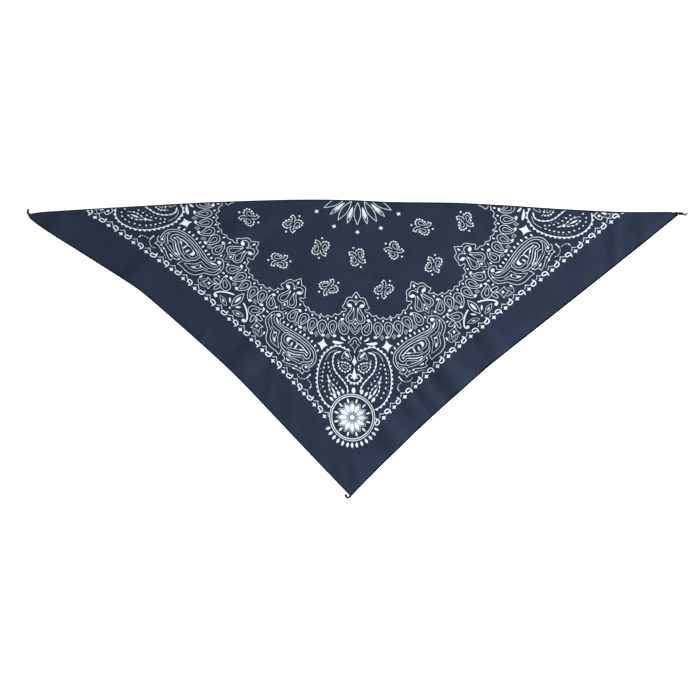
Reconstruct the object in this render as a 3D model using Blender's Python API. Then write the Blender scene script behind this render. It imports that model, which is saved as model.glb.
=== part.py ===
"""Dog bandana: one triangle of printed cloth, overlocked on its three edges, lying flat.

The piece is cut from half of a square bandana. Its two legs are straight threads of the cloth and
its long neck edge is a bias cut, so the laid cloth is worked out as a net of threads: a point that
lies s along the left leg and t along the right leg is found by walking both legs from the point of
the triangle. The legs lean a little differently along their length, because the cloth shears on the
bias when it is spread. +Y runs from the point to the neck edge, and +Z is up.
"""

import math
from collections import namedtuple

import bpy
import numpy as np
from mathutils import Matrix, Vector

# Driving sizes, in metres
SQUARE = 0.559  # side of the square bandana that the triangle is cut from
CUT_PAST_CENTRE = 0.0112  # the neck edge is cut this far on the point's side of the square's middle
LEG = SQUARE - CUT_PAST_CENTRE * math.sqrt(2)
CLOTH_WALL = 0.001
EDGE_WIDTH = 0.0018  # overlocked edge, seen from above
EDGE_HEIGHT = 0.0016
SEAM_GAP = 0.0003  # clear space between pieces that touch on the real bandana
PANEL_INSET = EDGE_WIDTH + 1.35 * SEAM_GAP  # the spread threads lean, which eats some of the gap
NECK_INSET = EDGE_WIDTH + 2.4 * SEAM_GAP  # the bias cut is squeezed more than the legs are
POINT_CUT = 0.0016  # how far the overlocking rounds off the point of the triangle
TIP_CUT = 0.0006  # and the two tips

PANEL_STEPS = 72  # squares of the net along a leg
EDGE_STEP = 0.0125  # spacing of an edge's sections
EDGE_SIDES = 8
TAIL_SIDES = 8
TAIL_STEP = 0.0012
WALK_STEPS = 1200  # steps of the walk along a leg

# How the legs lean from the neck edge's direction, from the point (share 0) to the tip (share 1)
Lean = namedtuple("Lean", "share degrees")
LEFT_LEG = (
    Lean(share=0.000, degrees=46.0),
    Lean(share=0.300, degrees=46.7),
    Lean(share=0.365, degrees=45.6),
    Lean(share=0.420, degrees=43.0),
    Lean(share=0.580, degrees=41.2),
    Lean(share=0.665, degrees=40.2),
    Lean(share=0.685, degrees=37.4),
    Lean(share=0.705, degrees=33.0),
    Lean(share=0.900, degrees=32.1),
    Lean(share=0.945, degrees=34.0),
    Lean(share=0.975, degrees=38.0),
    Lean(share=1.000, degrees=50.0),
)
RIGHT_LEG = (
    Lean(share=0.000, degrees=46.0),
    Lean(share=0.120, degrees=44.6),
    Lean(share=0.200, degrees=43.8),
    Lean(share=0.270, degrees=42.4),
    Lean(share=0.420, degrees=41.0),
    Lean(share=0.485, degrees=38.2),
    Lean(share=0.700, degrees=38.4),
    Lean(share=1.000, degrees=39.2),
)

# How far the neck edge bows out past the straight line from tip to tip, left to right
Bow = namedtuple("Bow", "share out")
NECK_EDGE = (
    Bow(share=0.000, out=0.0),
    Bow(share=0.020, out=0.0032),
    Bow(share=0.060, out=0.0056),
    Bow(share=0.150, out=0.0101),
    Bow(share=0.300, out=0.0168),
    Bow(share=0.440, out=0.0197),
    Bow(share=0.500, out=0.0190),
    Bow(share=0.560, out=0.0168),
    Bow(share=0.650, out=0.0160),
    Bow(share=0.720, out=0.0134),
    Bow(share=0.830, out=0.0077),
    Bow(share=0.930, out=0.0044),
    Bow(share=0.988, out=0.0046),
    Bow(share=1.000, out=0.0),
)

# The largest ripples, where the cloth lifts off the surface. Each starts on an edge: along is its
# place on that leg, reach is how far it runs in, and slant is how much it drifts along the leg.
Ripple = namedtuple("Ripple", "leg along reach half_width slant height")
RIPPLES = (
    Ripple(leg="left", along=0.381, reach=0.115, half_width=0.020, slant=0.35, height=0.0019),
    Ripple(leg="left", along=0.262, reach=0.070, half_width=0.017, slant=0.80, height=0.0012),
    Ripple(leg="left", along=0.500, reach=0.060, half_width=0.022, slant=0.10, height=0.0010),
    Ripple(leg="right", along=0.118, reach=0.070, half_width=0.016, slant=0.90, height=0.0012),
    Ripple(leg="right", along=0.176, reach=0.080, half_width=0.016, slant=0.90, height=0.0014),
    Ripple(leg="right", along=0.240, reach=0.060, half_width=0.017, slant=0.70, height=0.0010),
    Ripple(leg="right", along=0.492, reach=0.035, half_width=0.020, slant=0.50, height=0.0011),
)

# Thread tails that the overlocker leaves at the corners. right and up are distances from the middle
# of the edge's end that the tail leaves, and rise is the height above resting on the surface.
Stop = namedtuple("Stop", "right up rise")
TAIL_LEFT = (
    Stop(right=-0.0007, up=0.0000, rise=0.0),
    Stop(right=-0.0018, up=0.0008, rise=0.0001),
    Stop(right=-0.0022, up=0.0025, rise=0.0004),
    Stop(right=-0.0015, up=0.0042, rise=0.0006),
    Stop(right=-0.0020, up=0.0060, rise=0.0003),
)
TAIL_RIGHT = (
    Stop(right=0.0013, up=0.0001, rise=0.0),
    Stop(right=0.0030, up=0.0016, rise=0.0002),
    Stop(right=0.0046, up=0.0033, rise=0.0004),
    Stop(right=0.0062, up=0.0038, rise=0.0005),
    Stop(right=0.0076, up=0.0024, rise=0.0004),
    Stop(right=0.0092, up=0.0010, rise=0.0002),
    Stop(right=0.0109, up=0.0016, rise=0.0),
    Stop(right=0.0126, up=0.0034, rise=0.0),
)
TAIL_POINT = (
    Stop(right=0.0005, up=-0.0007, rise=0.0),
    Stop(right=-0.0008, up=-0.0022, rise=0.0001),
    Stop(right=-0.0031, up=-0.0035, rise=0.0003),
    Stop(right=-0.0052, up=-0.0026, rise=0.0003),
    Stop(right=-0.0064, up=-0.0005, rise=0.0),
    Stop(right=-0.0065, up=0.0016, rise=0.0),
)
TAIL_LEFT_RADIUS = 0.00085
TAIL_RIGHT_RADIUS = 0.0007
TAIL_POINT_RADIUS = 0.0007

CLOTH_COLOUR = (0.030, 0.040, 0.075, 1.0)
THREAD_COLOUR = (0.008, 0.010, 0.022, 1.0)


# ------------------------------------------------------------------ curves through tables


def through(rows, at):
    """The value at each place in at, on a smooth curve through the rows that never overshoots them."""
    xs, ys = np.array(rows, float).T
    step = np.diff(xs)
    rise = np.diff(ys) / step
    tilt = np.concatenate([[rise[0]], np.zeros(len(xs) - 2), [rise[-1]]])
    for i in range(1, len(xs) - 1):
        if rise[i - 1] * rise[i] > 0:
            ahead, behind = 2 * step[i] + step[i - 1], step[i] + 2 * step[i - 1]
            tilt[i] = (ahead + behind) / (ahead / rise[i - 1] + behind / rise[i])
    at = np.clip(at, xs[0], xs[-1])
    i = np.clip(np.searchsorted(xs, at, side="right") - 1, 0, len(xs) - 2)
    t = (at - xs[i]) / step[i]
    start, end = (1 + 2 * t) * (1 - t) ** 2, t * t * (3 - 2 * t)
    leave, arrive = t * (1 - t) ** 2, t * t * (t - 1)
    return start * ys[i] + end * ys[i + 1] + step[i] * (leave * tilt[i] + arrive * tilt[i + 1])


def walk(leg, side):
    """Places along a leg, from the point outwards: side is -1 for the left leg and 1 for the right."""
    distance = np.linspace(0, LEG, WALK_STEPS + 1)
    middle = (distance[1:] + distance[:-1]) / 2
    lean = np.radians(through(leg, middle / LEG))
    step = LEG / WALK_STEPS
    x = np.concatenate([[0], np.cumsum(side * np.cos(lean) * step)])
    y = np.concatenate([[0], np.cumsum(np.sin(lean) * step)])
    return distance, x, y


LEFT_WALK = walk(LEFT_LEG, -1)
RIGHT_WALK = walk(RIGHT_LEG, 1)


def on_leg(walked, at):
    distance, x, y = walked
    return np.interp(at, distance, x), np.interp(at, distance, y)


def laid(s, t):
    """Where the thread crossing s along the left leg and t along the right leg lies, seen from above."""
    left_x, left_y = on_leg(LEFT_WALK, s)
    right_x, right_y = on_leg(RIGHT_WALK, t)
    reach = (s + t) / LEG
    share = np.divide(t, s + t, out=np.full(np.shape(s + t), 0.5), where=(s + t) > 0)
    return left_x + right_x, left_y + right_y + reach * neck_pull(share)


def neck_pull(share):
    """How far the neck edge lies above the plain net's edge, from the left tip (0) to the right (1)."""
    left_x, left_y = on_leg(LEFT_WALK, (1 - share) * LEG)
    right_x, right_y = on_leg(RIGHT_WALK, share * LEG)
    tip_x, tip_y = LEFT_WALK[1][-1], LEFT_WALK[2][-1]
    end_x, end_y = RIGHT_WALK[1][-1], RIGHT_WALK[2][-1]
    across = (left_x + right_x - tip_x) / (end_x - tip_x)
    straight = tip_y + (end_y - tip_y) * across
    return straight + through(NECK_EDGE, across) - (left_y + right_y)


def lift(s, t):
    """How high the cloth's underside is above the surface: zero except on the ripples."""
    height = np.zeros(np.shape(s + t))
    for ripple in RIPPLES:
        along, inward = (s, t) if ripple.leg == "left" else (t, s)
        across = (along - ripple.along - ripple.slant * inward) / ripple.half_width
        down = inward / ripple.reach
        crest = np.clip(1 - across**2, 0, 1) ** 2 * np.clip(1 - down**2, 0, 1) ** 2
        height = height + ripple.height * crest
    return height


# ------------------------------------------------------------------ pieces


def material(name, colour, roughness):
    made = bpy.data.materials.new(name)
    made.use_nodes = True
    shader = made.node_tree.nodes["Principled BSDF"]
    shader.inputs["Base Color"].default_value = colour
    shader.inputs["Roughness"].default_value = roughness
    shader.inputs["Metallic"].default_value = 0.0
    return made


def piece(name, vertices, faces, finish):
    mesh = bpy.data.meshes.new(name)
    mesh.from_pydata([tuple(v) for v in vertices], [], faces)
    mesh.validate()
    mesh.materials.append(finish)
    made = bpy.data.objects.new(name, mesh)
    bpy.context.collection.objects.link(made)
    return made


def panel(finish):
    """The cloth: a wall of even thickness over the net's triangle, just inside the edges."""
    rows = PANEL_STEPS
    step = (LEG - 2 * PANEL_INSET - NECK_INSET * math.sqrt(2)) / rows
    number = {}
    net = []
    for i in range(rows + 1):
        for j in range(rows + 1 - i):
            number[i, j] = len(net)
            net.append((PANEL_INSET + i * step, PANEL_INSET + j * step))
    s, t = np.array(net).T
    x, y = laid(s, t)
    z = lift(s, t)
    count = len(net)
    vertices = np.concatenate([np.stack([x, y, z], 1), np.stack([x, y, z + CLOTH_WALL], 1)])

    faces = []
    for i in range(rows):
        for j in range(rows - i):
            corner, left, right = number[i, j], number[i + 1, j], number[i, j + 1]
            faces.append((corner, left, right))
            faces.append((corner + count, right + count, left + count))
            if i + j < rows - 1:
                far = number[i + 1, j + 1]
                faces.append((left, far, right))
                faces.append((left + count, right + count, far + count))
    rim = [number[i, 0] for i in range(rows)]
    rim += [number[rows - j, j] for j in range(rows)]
    rim += [number[0, j] for j in range(rows, 0, -1)]
    for a, b in zip(rim, rim[1:] + rim[:1], strict=True):
        faces.append((b, a, a + count, b + count))
    return piece("panel", vertices, faces, finish)


def even_points(path, step):
    """The path walked again with points at an even spacing of about step."""
    lengths = np.linalg.norm(np.diff(path, axis=0), axis=1)
    along = np.concatenate([[0], np.cumsum(lengths)])
    at = np.linspace(0, along[-1], max(4, round(along[-1] / step)) + 1)
    return np.stack([np.interp(at, along, path[:, i]) for i in range(3)], 1)


def tube(name, path, width, height, sides, finish):
    """A closed bar along path, with an oval section that stays upright, and its ends drawn in."""
    wide, high = (0.5 * size / math.cos(math.pi / sides) for size in (width, height))
    ahead = np.gradient(path, axis=0)
    ahead[:, 2] = 0
    ahead /= np.linalg.norm(ahead, axis=1)[:, None]
    beside = np.stack([ahead[:, 1], -ahead[:, 0], np.zeros(len(path))], 1)
    up = np.array([0.0, 0.0, 1.0])
    rings = []
    for i, place in enumerate(path):
        full = 0.7 if i in (0, len(path) - 1) else 1.0
        for turn in range(sides):
            angle = math.tau * (turn + 0.5) / sides
            out = beside[i] * math.cos(angle) * wide * full
            rings.append(place + out + up * math.sin(angle) * high * full)
    faces = [tuple(range(sides - 1, -1, -1))]
    for i in range(len(path) - 1):
        for turn in range(sides):
            a, b = i * sides + turn, i * sides + (turn + 1) % sides
            faces.append((a, b, b + sides, a + sides))
    faces.append(tuple(range((len(path) - 1) * sides, len(path) * sides)))
    return piece(name, rings, [face[::-1] for face in faces], finish)


def edge_path(s, t, inside):
    """The middle of an overlocked edge: half its width in from the cloth's outline, inside to the left."""
    x, y = laid(s, t)
    outline = np.stack([x, y], 1)
    ahead = np.gradient(outline, axis=0)
    ahead /= np.linalg.norm(ahead, axis=1)[:, None]
    inward = inside * np.stack([-ahead[:, 1], ahead[:, 0]], 1)
    middle = outline + inward * EDGE_WIDTH / 2
    height = lift(s, t) + EDGE_HEIGHT / 2
    return even_points(np.column_stack([middle, height]), EDGE_STEP)


def overlocked_edges(finish):
    """The three edges. The neck edge runs from tip to tip, and the legs stop just short of it."""
    fine = 600
    tip_clear = 1.95 * EDGE_WIDTH
    point_clear = EDGE_WIDTH + SEAM_GAP
    none = np.zeros(fine)
    down_left = np.linspace(LEG - tip_clear, POINT_CUT, fine)
    up_right = np.linspace(point_clear, LEG - tip_clear, fine)
    from_left = np.linspace(LEG - TIP_CUT, TIP_CUT, fine)
    routes = {
        "edge_left": edge_path(down_left, none, 1),
        "edge_right": edge_path(none, up_right, 1),
        "edge_neck": edge_path(from_left, LEG - from_left, -1),
    }
    edges = [
        tube(name, route, EDGE_WIDTH, EDGE_HEIGHT, EDGE_SIDES, finish)
        for name, route in routes.items()
    ]
    ends = {
        "left": routes["edge_neck"][0],
        "right": routes["edge_neck"][-1],
        "point": routes["edge_left"][-1],
    }
    return edges, ends


def tail(name, end, stops, radius, finish):
    """A thread tail on a smooth curve through its stops, lying on the surface."""
    places = [(end[0] + stop.right, end[1] + stop.up, radius + stop.rise) for stop in stops]
    places = np.array(places)
    rough = np.arange(len(places))
    fine = np.linspace(0, len(places) - 1, 12 * len(places))
    padded = np.vstack([2 * places[0] - places[1], places, 2 * places[-1] - places[-2]])
    i = np.clip(fine.astype(int), 0, len(rough) - 2)
    u = (fine - i)[:, None]
    before, start, end, after = (padded[i + k] for k in range(4))
    bend = 2 * before - 5 * start + 4 * end - after
    swing = 3 * (start - end) + after - before
    curve = start + 0.5 * u * (end - before + u * (bend + u * swing))
    route = even_points(curve, TAIL_STEP)
    route[:, 2] = np.maximum(route[:, 2], radius)
    return tube(name, route, 2 * radius, 2 * radius, TAIL_SIDES, finish)


def settle(objects):
    """Moves everything so that the origin is under the middle of the whole bandana."""
    places = np.array([v.co for made in objects for v in made.data.vertices])
    low, high = places.min(0), places.max(0)
    middle = (low + high) / 2
    shift = Matrix.Translation(Vector((-middle[0], -middle[1], -low[2])))
    for made in objects:
        made.data.transform(shift)
        made.data.shade_smooth()
        made.data.set_sharp_from_angle(angle=math.radians(40))


def main():
    for old in list(bpy.data.objects):
        bpy.data.objects.remove(old, do_unlink=True)
    cloth = material("navy cotton", CLOTH_COLOUR, 0.85)
    thread = material("dark overlock thread", THREAD_COLOUR, 0.7)
    edges, ends = overlocked_edges(thread)
    pieces = [panel(cloth), *edges]
    pieces.append(tail("tail_left", ends["left"], TAIL_LEFT, TAIL_LEFT_RADIUS, thread))
    pieces.append(tail("tail_right", ends["right"], TAIL_RIGHT, TAIL_RIGHT_RADIUS, thread))
    pieces.append(tail("tail_point", ends["point"], TAIL_POINT, TAIL_POINT_RADIUS, thread))
    settle(pieces)


main()
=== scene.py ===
"""Dog bandana: its printed cloth, overlocked edges and thread tails, laid flat.

The cloth is a net of threads. A place on it is given by s and t, which are how far it lies along the
left and the right leg of the triangle, in metres, and laid() says where that place lies. The print is
drawn flat, in millimetres from the middle of the square that the triangle was cut from, and is then
carried onto the laid cloth.
"""

import math
from collections import namedtuple
from functools import partial

import bmesh
import bpy
import numpy as np
from mathutils.geometry import tessellate_polygon
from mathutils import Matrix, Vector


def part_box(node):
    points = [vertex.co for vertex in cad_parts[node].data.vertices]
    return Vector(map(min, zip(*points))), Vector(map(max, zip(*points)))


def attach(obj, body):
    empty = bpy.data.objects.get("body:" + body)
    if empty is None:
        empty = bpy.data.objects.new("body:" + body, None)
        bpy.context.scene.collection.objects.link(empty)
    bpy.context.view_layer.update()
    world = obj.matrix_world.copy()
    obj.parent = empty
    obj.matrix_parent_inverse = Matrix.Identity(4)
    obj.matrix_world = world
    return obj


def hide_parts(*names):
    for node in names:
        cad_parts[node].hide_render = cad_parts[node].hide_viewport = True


bl_info = {
    "name": "Dog bandana",
    "version": (1, 0, 0),
    "blender": (4, 5, 0),
    "location": "View3D > Sidebar > Bandana",
    "description": "Makes a printed triangular bandana for a dog, with overlocked edges",
    "category": "Add Mesh",
}

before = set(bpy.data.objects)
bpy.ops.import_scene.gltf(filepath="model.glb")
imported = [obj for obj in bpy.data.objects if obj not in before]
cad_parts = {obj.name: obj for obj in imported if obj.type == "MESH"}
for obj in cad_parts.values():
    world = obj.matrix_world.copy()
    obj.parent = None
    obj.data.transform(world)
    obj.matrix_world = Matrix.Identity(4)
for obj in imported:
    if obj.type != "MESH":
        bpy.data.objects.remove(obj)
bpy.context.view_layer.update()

# ------------------------------------------------------------------ cut and lay of the cloth

SQUARE = 0.559  # side of the square that the triangle is cut from
CUT_PAST_CENTRE = 0.0112  # from the middle of the square to the neck edge
LEG = SQUARE - CUT_PAST_CENTRE * math.sqrt(2)
EDGE_WIDTH, EDGE_HEIGHT = 0.0018, 0.0016  # the solid overlocked edges
STITCH_WIDTH, STITCH_HEIGHT = 0.0018, 0.0012  # the rows of stitches that replace them
SEAM_GAP = 0.0003
PANEL_INSET = EDGE_WIDTH + 1.35 * SEAM_GAP  # insets of the solid cloth, whose corners place the net
NECK_INSET = EDGE_WIDTH + 2.4 * SEAM_GAP
POINT_CUT, TIP_CUT = 0.0016, 0.0006  # how far the stitches stop short of the point and the left tip
WALK_STEPS = 1200  # steps of the walk along a leg

# How a leg leans from the neck edge's direction: a share of its length from the point, and degrees
LEFT_LEG = (
    (0, 46), (0.3, 46.7), (0.365, 45.6), (0.42, 43), (0.58, 41.2), (0.665, 40.2), (0.685, 37.4),
    (0.705, 33), (0.9, 32.1), (0.945, 34), (0.975, 38), (1, 50),
)
RIGHT_LEG = (
    (0, 46), (0.12, 44.6), (0.2, 43.8), (0.27, 42.4), (0.42, 41), (0.485, 38.2), (0.7, 38.4), (1, 39.2),
)
# How far the neck edge bows out past the straight line between the tips: a share from left to right,
# and metres
NECK_EDGE = (
    (0, 0), (0.02, 0.0032), (0.06, 0.0056), (0.15, 0.0101), (0.3, 0.0168), (0.44, 0.0197), (0.5, 0.019),
    (0.56, 0.0168), (0.65, 0.016), (0.72, 0.0134), (0.83, 0.0077), (0.93, 0.0044), (0.988, 0.0046), (1, 0),
)

# Ripples that start on a leg: along is their place on it, reach is how far they run in, and slant is
# how much they drift along the leg
Ripple = namedtuple("Ripple", "leg along reach half_width slant height")
RIPPLES = (
    Ripple("left", 0.381, 0.115, 0.024, 0.35, 0.0012),
    Ripple("left", 0.500, 0.060, 0.022, 0.10, 0.0010),
    Ripple("right", 0.492, 0.035, 0.020, 0.50, 0.0011),
)

# Waves of the cloth: soft ridges from one place to another on the flat triangle, given
# by right (from its middle line) and up (from its point), all in millimetres
Wave = namedtuple("Wave", "right up end_right end_up half_width height")
WAVES = [Wave(*(part / 1000 for part in row)) for row in (
    (2, 47, 9, 20, 12, 0.6), (35, 94, 58, 67, 22.5, 3.6), (68, 124, 90, 97, 12.5, 1.3),
    (85, 141, 107, 114, 12.5, 1.8), (112, 168, 133, 141, 22.5, 4.4), (157, 217, 176, 191, 20, 2.8),
    (308, 356, 311, 320, 12, 1), (336, 375, 342, 348, 10, 0.4), (-233, 282, -277, 283, 9.5, 0.5),
    (-183, 203, -189, 196, 6.5, 0.7), (-126, 180, -146, 155, 25, 1.7), (-100, 156, -107, 123, 10, 0.6),
    (-76, 130, -79, 95, 12, 0.6), (-49, 109, -43, 79, 11, 0.3), (-14, 53, -11, 26, 11, 0.4),
    (-113, 354, -144, 341, 22, 1.4), (120, 376, 100, 330, 20, 0.5), (10, 180, 60, 300, 30, 0.6),
    (-80, 220, -30, 330, 28, 0.6),
)]

# The low roll beside the right leg's stitches: its height and how much taller it is near the point,
# how far it takes to rise (twice that near the point), where that part ends and over how far it fades,
# and how far in the roll has sunk away
ROLL_HEIGHT, ROLL_TALLER = 0.0009, 0.0006
ROLL_RISE = 0.0025
POINT_END, POINT_FADE = 0.30, 0.06
ROLL_REACH = 0.2
WAVE_END = 1.6  # how many half widths a wave runs on past its two ends


def through(rows, at):
    """The value at each place in at, on a smooth curve through the rows that never overshoots them."""
    xs, ys = np.array(rows, float).T
    step = np.diff(xs)
    rise = np.diff(ys) / step
    tilt = np.concatenate([[rise[0]], np.zeros(len(xs) - 2), [rise[-1]]])
    for i in range(1, len(xs) - 1):
        if rise[i - 1] * rise[i] > 0:
            ahead, behind = 2 * step[i] + step[i - 1], step[i] + 2 * step[i - 1]
            tilt[i] = (ahead + behind) / (ahead / rise[i - 1] + behind / rise[i])
    at = np.clip(at, xs[0], xs[-1])
    i = np.clip(np.searchsorted(xs, at, side="right") - 1, 0, len(xs) - 2)
    t = (at - xs[i]) / step[i]
    start, end = (1 + 2 * t) * (1 - t) ** 2, t * t * (3 - 2 * t)
    leave, arrive = t * (1 - t) ** 2, t * t * (t - 1)
    return start * ys[i] + end * ys[i + 1] + step[i] * (leave * tilt[i] + arrive * tilt[i + 1])


def walk(leg, side):
    """Places along a leg, from the point outwards: side is -1 for the left leg and 1 for the right."""
    distance = np.linspace(0, LEG, WALK_STEPS + 1)
    middle = (distance[1:] + distance[:-1]) / 2
    lean = np.radians(through(leg, middle / LEG))
    step = LEG / WALK_STEPS
    x = np.concatenate([[0], np.cumsum(side * np.cos(lean) * step)])
    y = np.concatenate([[0], np.cumsum(np.sin(lean) * step)])
    return distance, x, y


LEFT_WALK = walk(LEFT_LEG, -1)
RIGHT_WALK = walk(RIGHT_LEG, 1)


def on_leg(walked, at):
    """Where the place lies that is so far along a leg."""
    distance, x, y = walked
    return np.interp(at, distance, x), np.interp(at, distance, y)


def neck_pull(share):
    """How far the neck edge lies above the plain net's edge, from the left tip (0) to the right (1)."""
    left_x, left_y = on_leg(LEFT_WALK, (1 - share) * LEG)
    right_x, right_y = on_leg(RIGHT_WALK, share * LEG)
    tip_x, tip_y = LEFT_WALK[1][-1], LEFT_WALK[2][-1]
    end_x, end_y = RIGHT_WALK[1][-1], RIGHT_WALK[2][-1]
    across = (left_x + right_x - tip_x) / (end_x - tip_x)
    straight = tip_y + (end_y - tip_y) * across
    return straight + through(NECK_EDGE, across) - (left_y + right_y)


def laid_loose(s, t):
    """Where the thread crossing at s and t lies, from the point of the triangle."""
    left_x, left_y = on_leg(LEFT_WALK, s)
    right_x, right_y = on_leg(RIGHT_WALK, t)
    share = np.divide(t, s + t, out=np.full(np.shape(s + t), 0.5), where=(s + t) > 0)
    return left_x + right_x, left_y + right_y + (s + t) / LEG * neck_pull(share)


def net_shift():
    """How far the net is moved to lie on the frame, read off the corners of the solid cloth."""
    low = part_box("panel")[0]
    far = np.array([LEG - PANEL_INSET - NECK_INSET * math.sqrt(2)])
    near = np.array([PANEL_INSET])
    return low.x - laid_loose(far, near)[0][0], low.y - laid_loose(near, near)[1][0]


SHIFT_X, SHIFT_Y = net_shift()


def laid(s, t):
    """Where the thread crossing at s and t lies on the surface."""
    x, y = laid_loose(s, t)
    return x + SHIFT_X, y + SHIFT_Y


def bump(across):
    """A smooth hump, 1 in the middle and 0 from 1 outwards."""
    return np.clip(1 - across**2, 0, 1) ** 2


def hem_roll(s, t):
    """The low roll in which the cloth rises from the stitches of the right leg, then sinks slowly."""
    by_point = np.clip((POINT_END - t) / POINT_FADE, 0, 1)
    rise = 1 - np.exp(-np.clip(s - STITCH_WIDTH, 0, None) / (ROLL_RISE * (1 + by_point)))
    return (ROLL_HEIGHT + ROLL_TALLER * by_point) * rise * np.clip(1 - s / ROLL_REACH, 0, 1) ** 2


def lift(s, t):
    """How high the cloth's underside is above the surface."""
    height = hem_roll(s, t)
    for ripple in RIPPLES:
        along, inward = (s, t) if ripple.leg == "left" else (t, s)
        across = (along - ripple.along - ripple.slant * inward) / ripple.half_width
        height = height + ripple.height * bump(across) * bump(inward / ripple.reach)
    right, up = (t - s) / math.sqrt(2), (t + s) / math.sqrt(2)
    for wave in WAVES:
        run = np.array([wave.end_right - wave.right, wave.end_up - wave.up])
        length = np.linalg.norm(run)
        run /= length
        along = (right - wave.right) * run[0] + (up - wave.up) * run[1]
        across = ((right - wave.right) * run[1] - (up - wave.up) * run[0]) / wave.half_width
        beyond = np.clip(np.maximum(-along, along - length) / (WAVE_END * wave.half_width), 0, 1)
        height = height + wave.height * bump(across) * bump(beyond)
    return height


# ------------------------------------------------------------------ the print, drawn flat

LINE, FINE, FAINT = 0.61, 0.44, 0.28  # widths of the print's lines, in millimetres
CURVE_STEP = 0.8
DROP_STEPS = 2.4  # how many times finer than that a drop's outline is, both of its sides included
DROP_FULLEST = 0.77  # how wide sin(a) sin(a / 2) is at most


def between(places, i, u):
    """Places at shares u of the way from place i + 1 to the next, on a smooth curve through them all."""
    before, start, end, after = (places[i + k] for k in range(4))
    bend = 2 * before - 5 * start + 4 * end - after
    swing = 3 * (start - end) + after - before
    return start + 0.5 * u * (end - before + u * (bend + u * swing))


def with_ends(stops):
    """The stops, with one more at each end for between() to look back and ahead to."""
    return np.vstack([2 * stops[0] - stops[1], stops, 2 * stops[-1] - stops[-2]])


def smooth(stops, closed=False):
    """Points about CURVE_STEP apart on a smooth curve through the stops."""
    stops = np.array(stops, float)
    padded = np.vstack([stops[-1], stops, stops[:2]]) if closed else with_ends(stops)
    points = []
    for i in range(len(padded) - 3):
        parts = max(2, math.ceil(np.linalg.norm(padded[i + 2] - padded[i + 1]) / CURVE_STEP))
        points.append(between(padded, i, np.linspace(0, 1, parts, endpoint=False)[:, None]))
    if not closed:
        points.append(stops[-1:])
    return np.vstack(points)


def toward(start, end):
    """The start, the way to the end and the way to the right of that, and how far it is."""
    start, end = np.array(start, float), np.array(end, float)
    length = np.linalg.norm(end - start)
    ahead = (end - start) / length
    return start, ahead, np.array([ahead[1], -ahead[0]]), length


def teardrop(tip, middle, radius, bow=0.0):
    """The outline of a drop, from its tip, round its middle and back. bow swings its body sideways."""
    tip, ahead, beside, reach = toward(tip, middle)
    length = reach + radius
    turn = np.linspace(0, math.tau, max(14, math.ceil(DROP_STEPS * length / CURVE_STEP)))
    along = length * (1 - np.cos(turn)) / 2
    across = radius / DROP_FULLEST * np.sin(turn) * np.sin(turn / 2)
    across = across + bow * np.sin(math.pi * along / length)
    return tip + along[:, None] * ahead + across[:, None] * beside


def leaf(start, end, width):
    """The outline of a leaf that is pointed at both ends."""
    start, ahead, beside, length = toward(start, end)
    share = np.linspace(0, 1, max(6, math.ceil(length / CURVE_STEP)))
    middle = start + (share * length)[:, None] * ahead
    swell = (width / 2 * np.sin(math.pi * share))[:, None] * beside
    return np.vstack([middle + swell, (middle - swell)[-2:0:-1]])


def turned(a, b, x, y, turn):
    """Places a along and b across from x, y, turned by degrees."""
    c, s = math.cos(math.radians(turn)), math.sin(math.radians(turn))
    return np.stack([x + a * c - b * s, y + a * s + b * c], 1)


def oval(x, y, half_wide, half_high, turn=0.0, count=12):
    """The outline of an oval round x, y."""
    angle = np.linspace(0, math.tau, count, endpoint=False)
    return turned(half_wide * np.cos(angle), half_high * np.sin(angle), x, y, turn)


def star(x, y, reach, turn=0.0, tall=1.0, hollow=3.1, count=16):
    """A star with four points and hollow sides."""
    angle = np.linspace(0, math.tau, count, endpoint=False)
    a, b = (np.sign(part) * np.abs(part) ** hollow for part in (np.cos(angle), np.sin(angle)))
    return turned(reach * a, tall * reach * b, x, y, turn)


def evenly(curve, step):
    """Places at an even step along a curve, and the direction to the left of it at each."""
    lengths = np.linalg.norm(np.diff(curve, axis=0), axis=1)
    along = np.concatenate([[0], np.cumsum(lengths)])
    count = max(1, round(along[-1] / step))
    at = (np.arange(count) + 0.5) * along[-1] / count
    places = np.stack([np.interp(at, along, curve[:, k]) for k in (0, 1)], 1)
    near = np.clip(np.searchsorted(along, at) - 1, 0, len(lengths) - 1)
    ahead = (curve[near + 1] - curve[near]) / lengths[near][:, None]
    return places, np.stack([-ahead[:, 1], ahead[:, 0]], 1)


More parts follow.
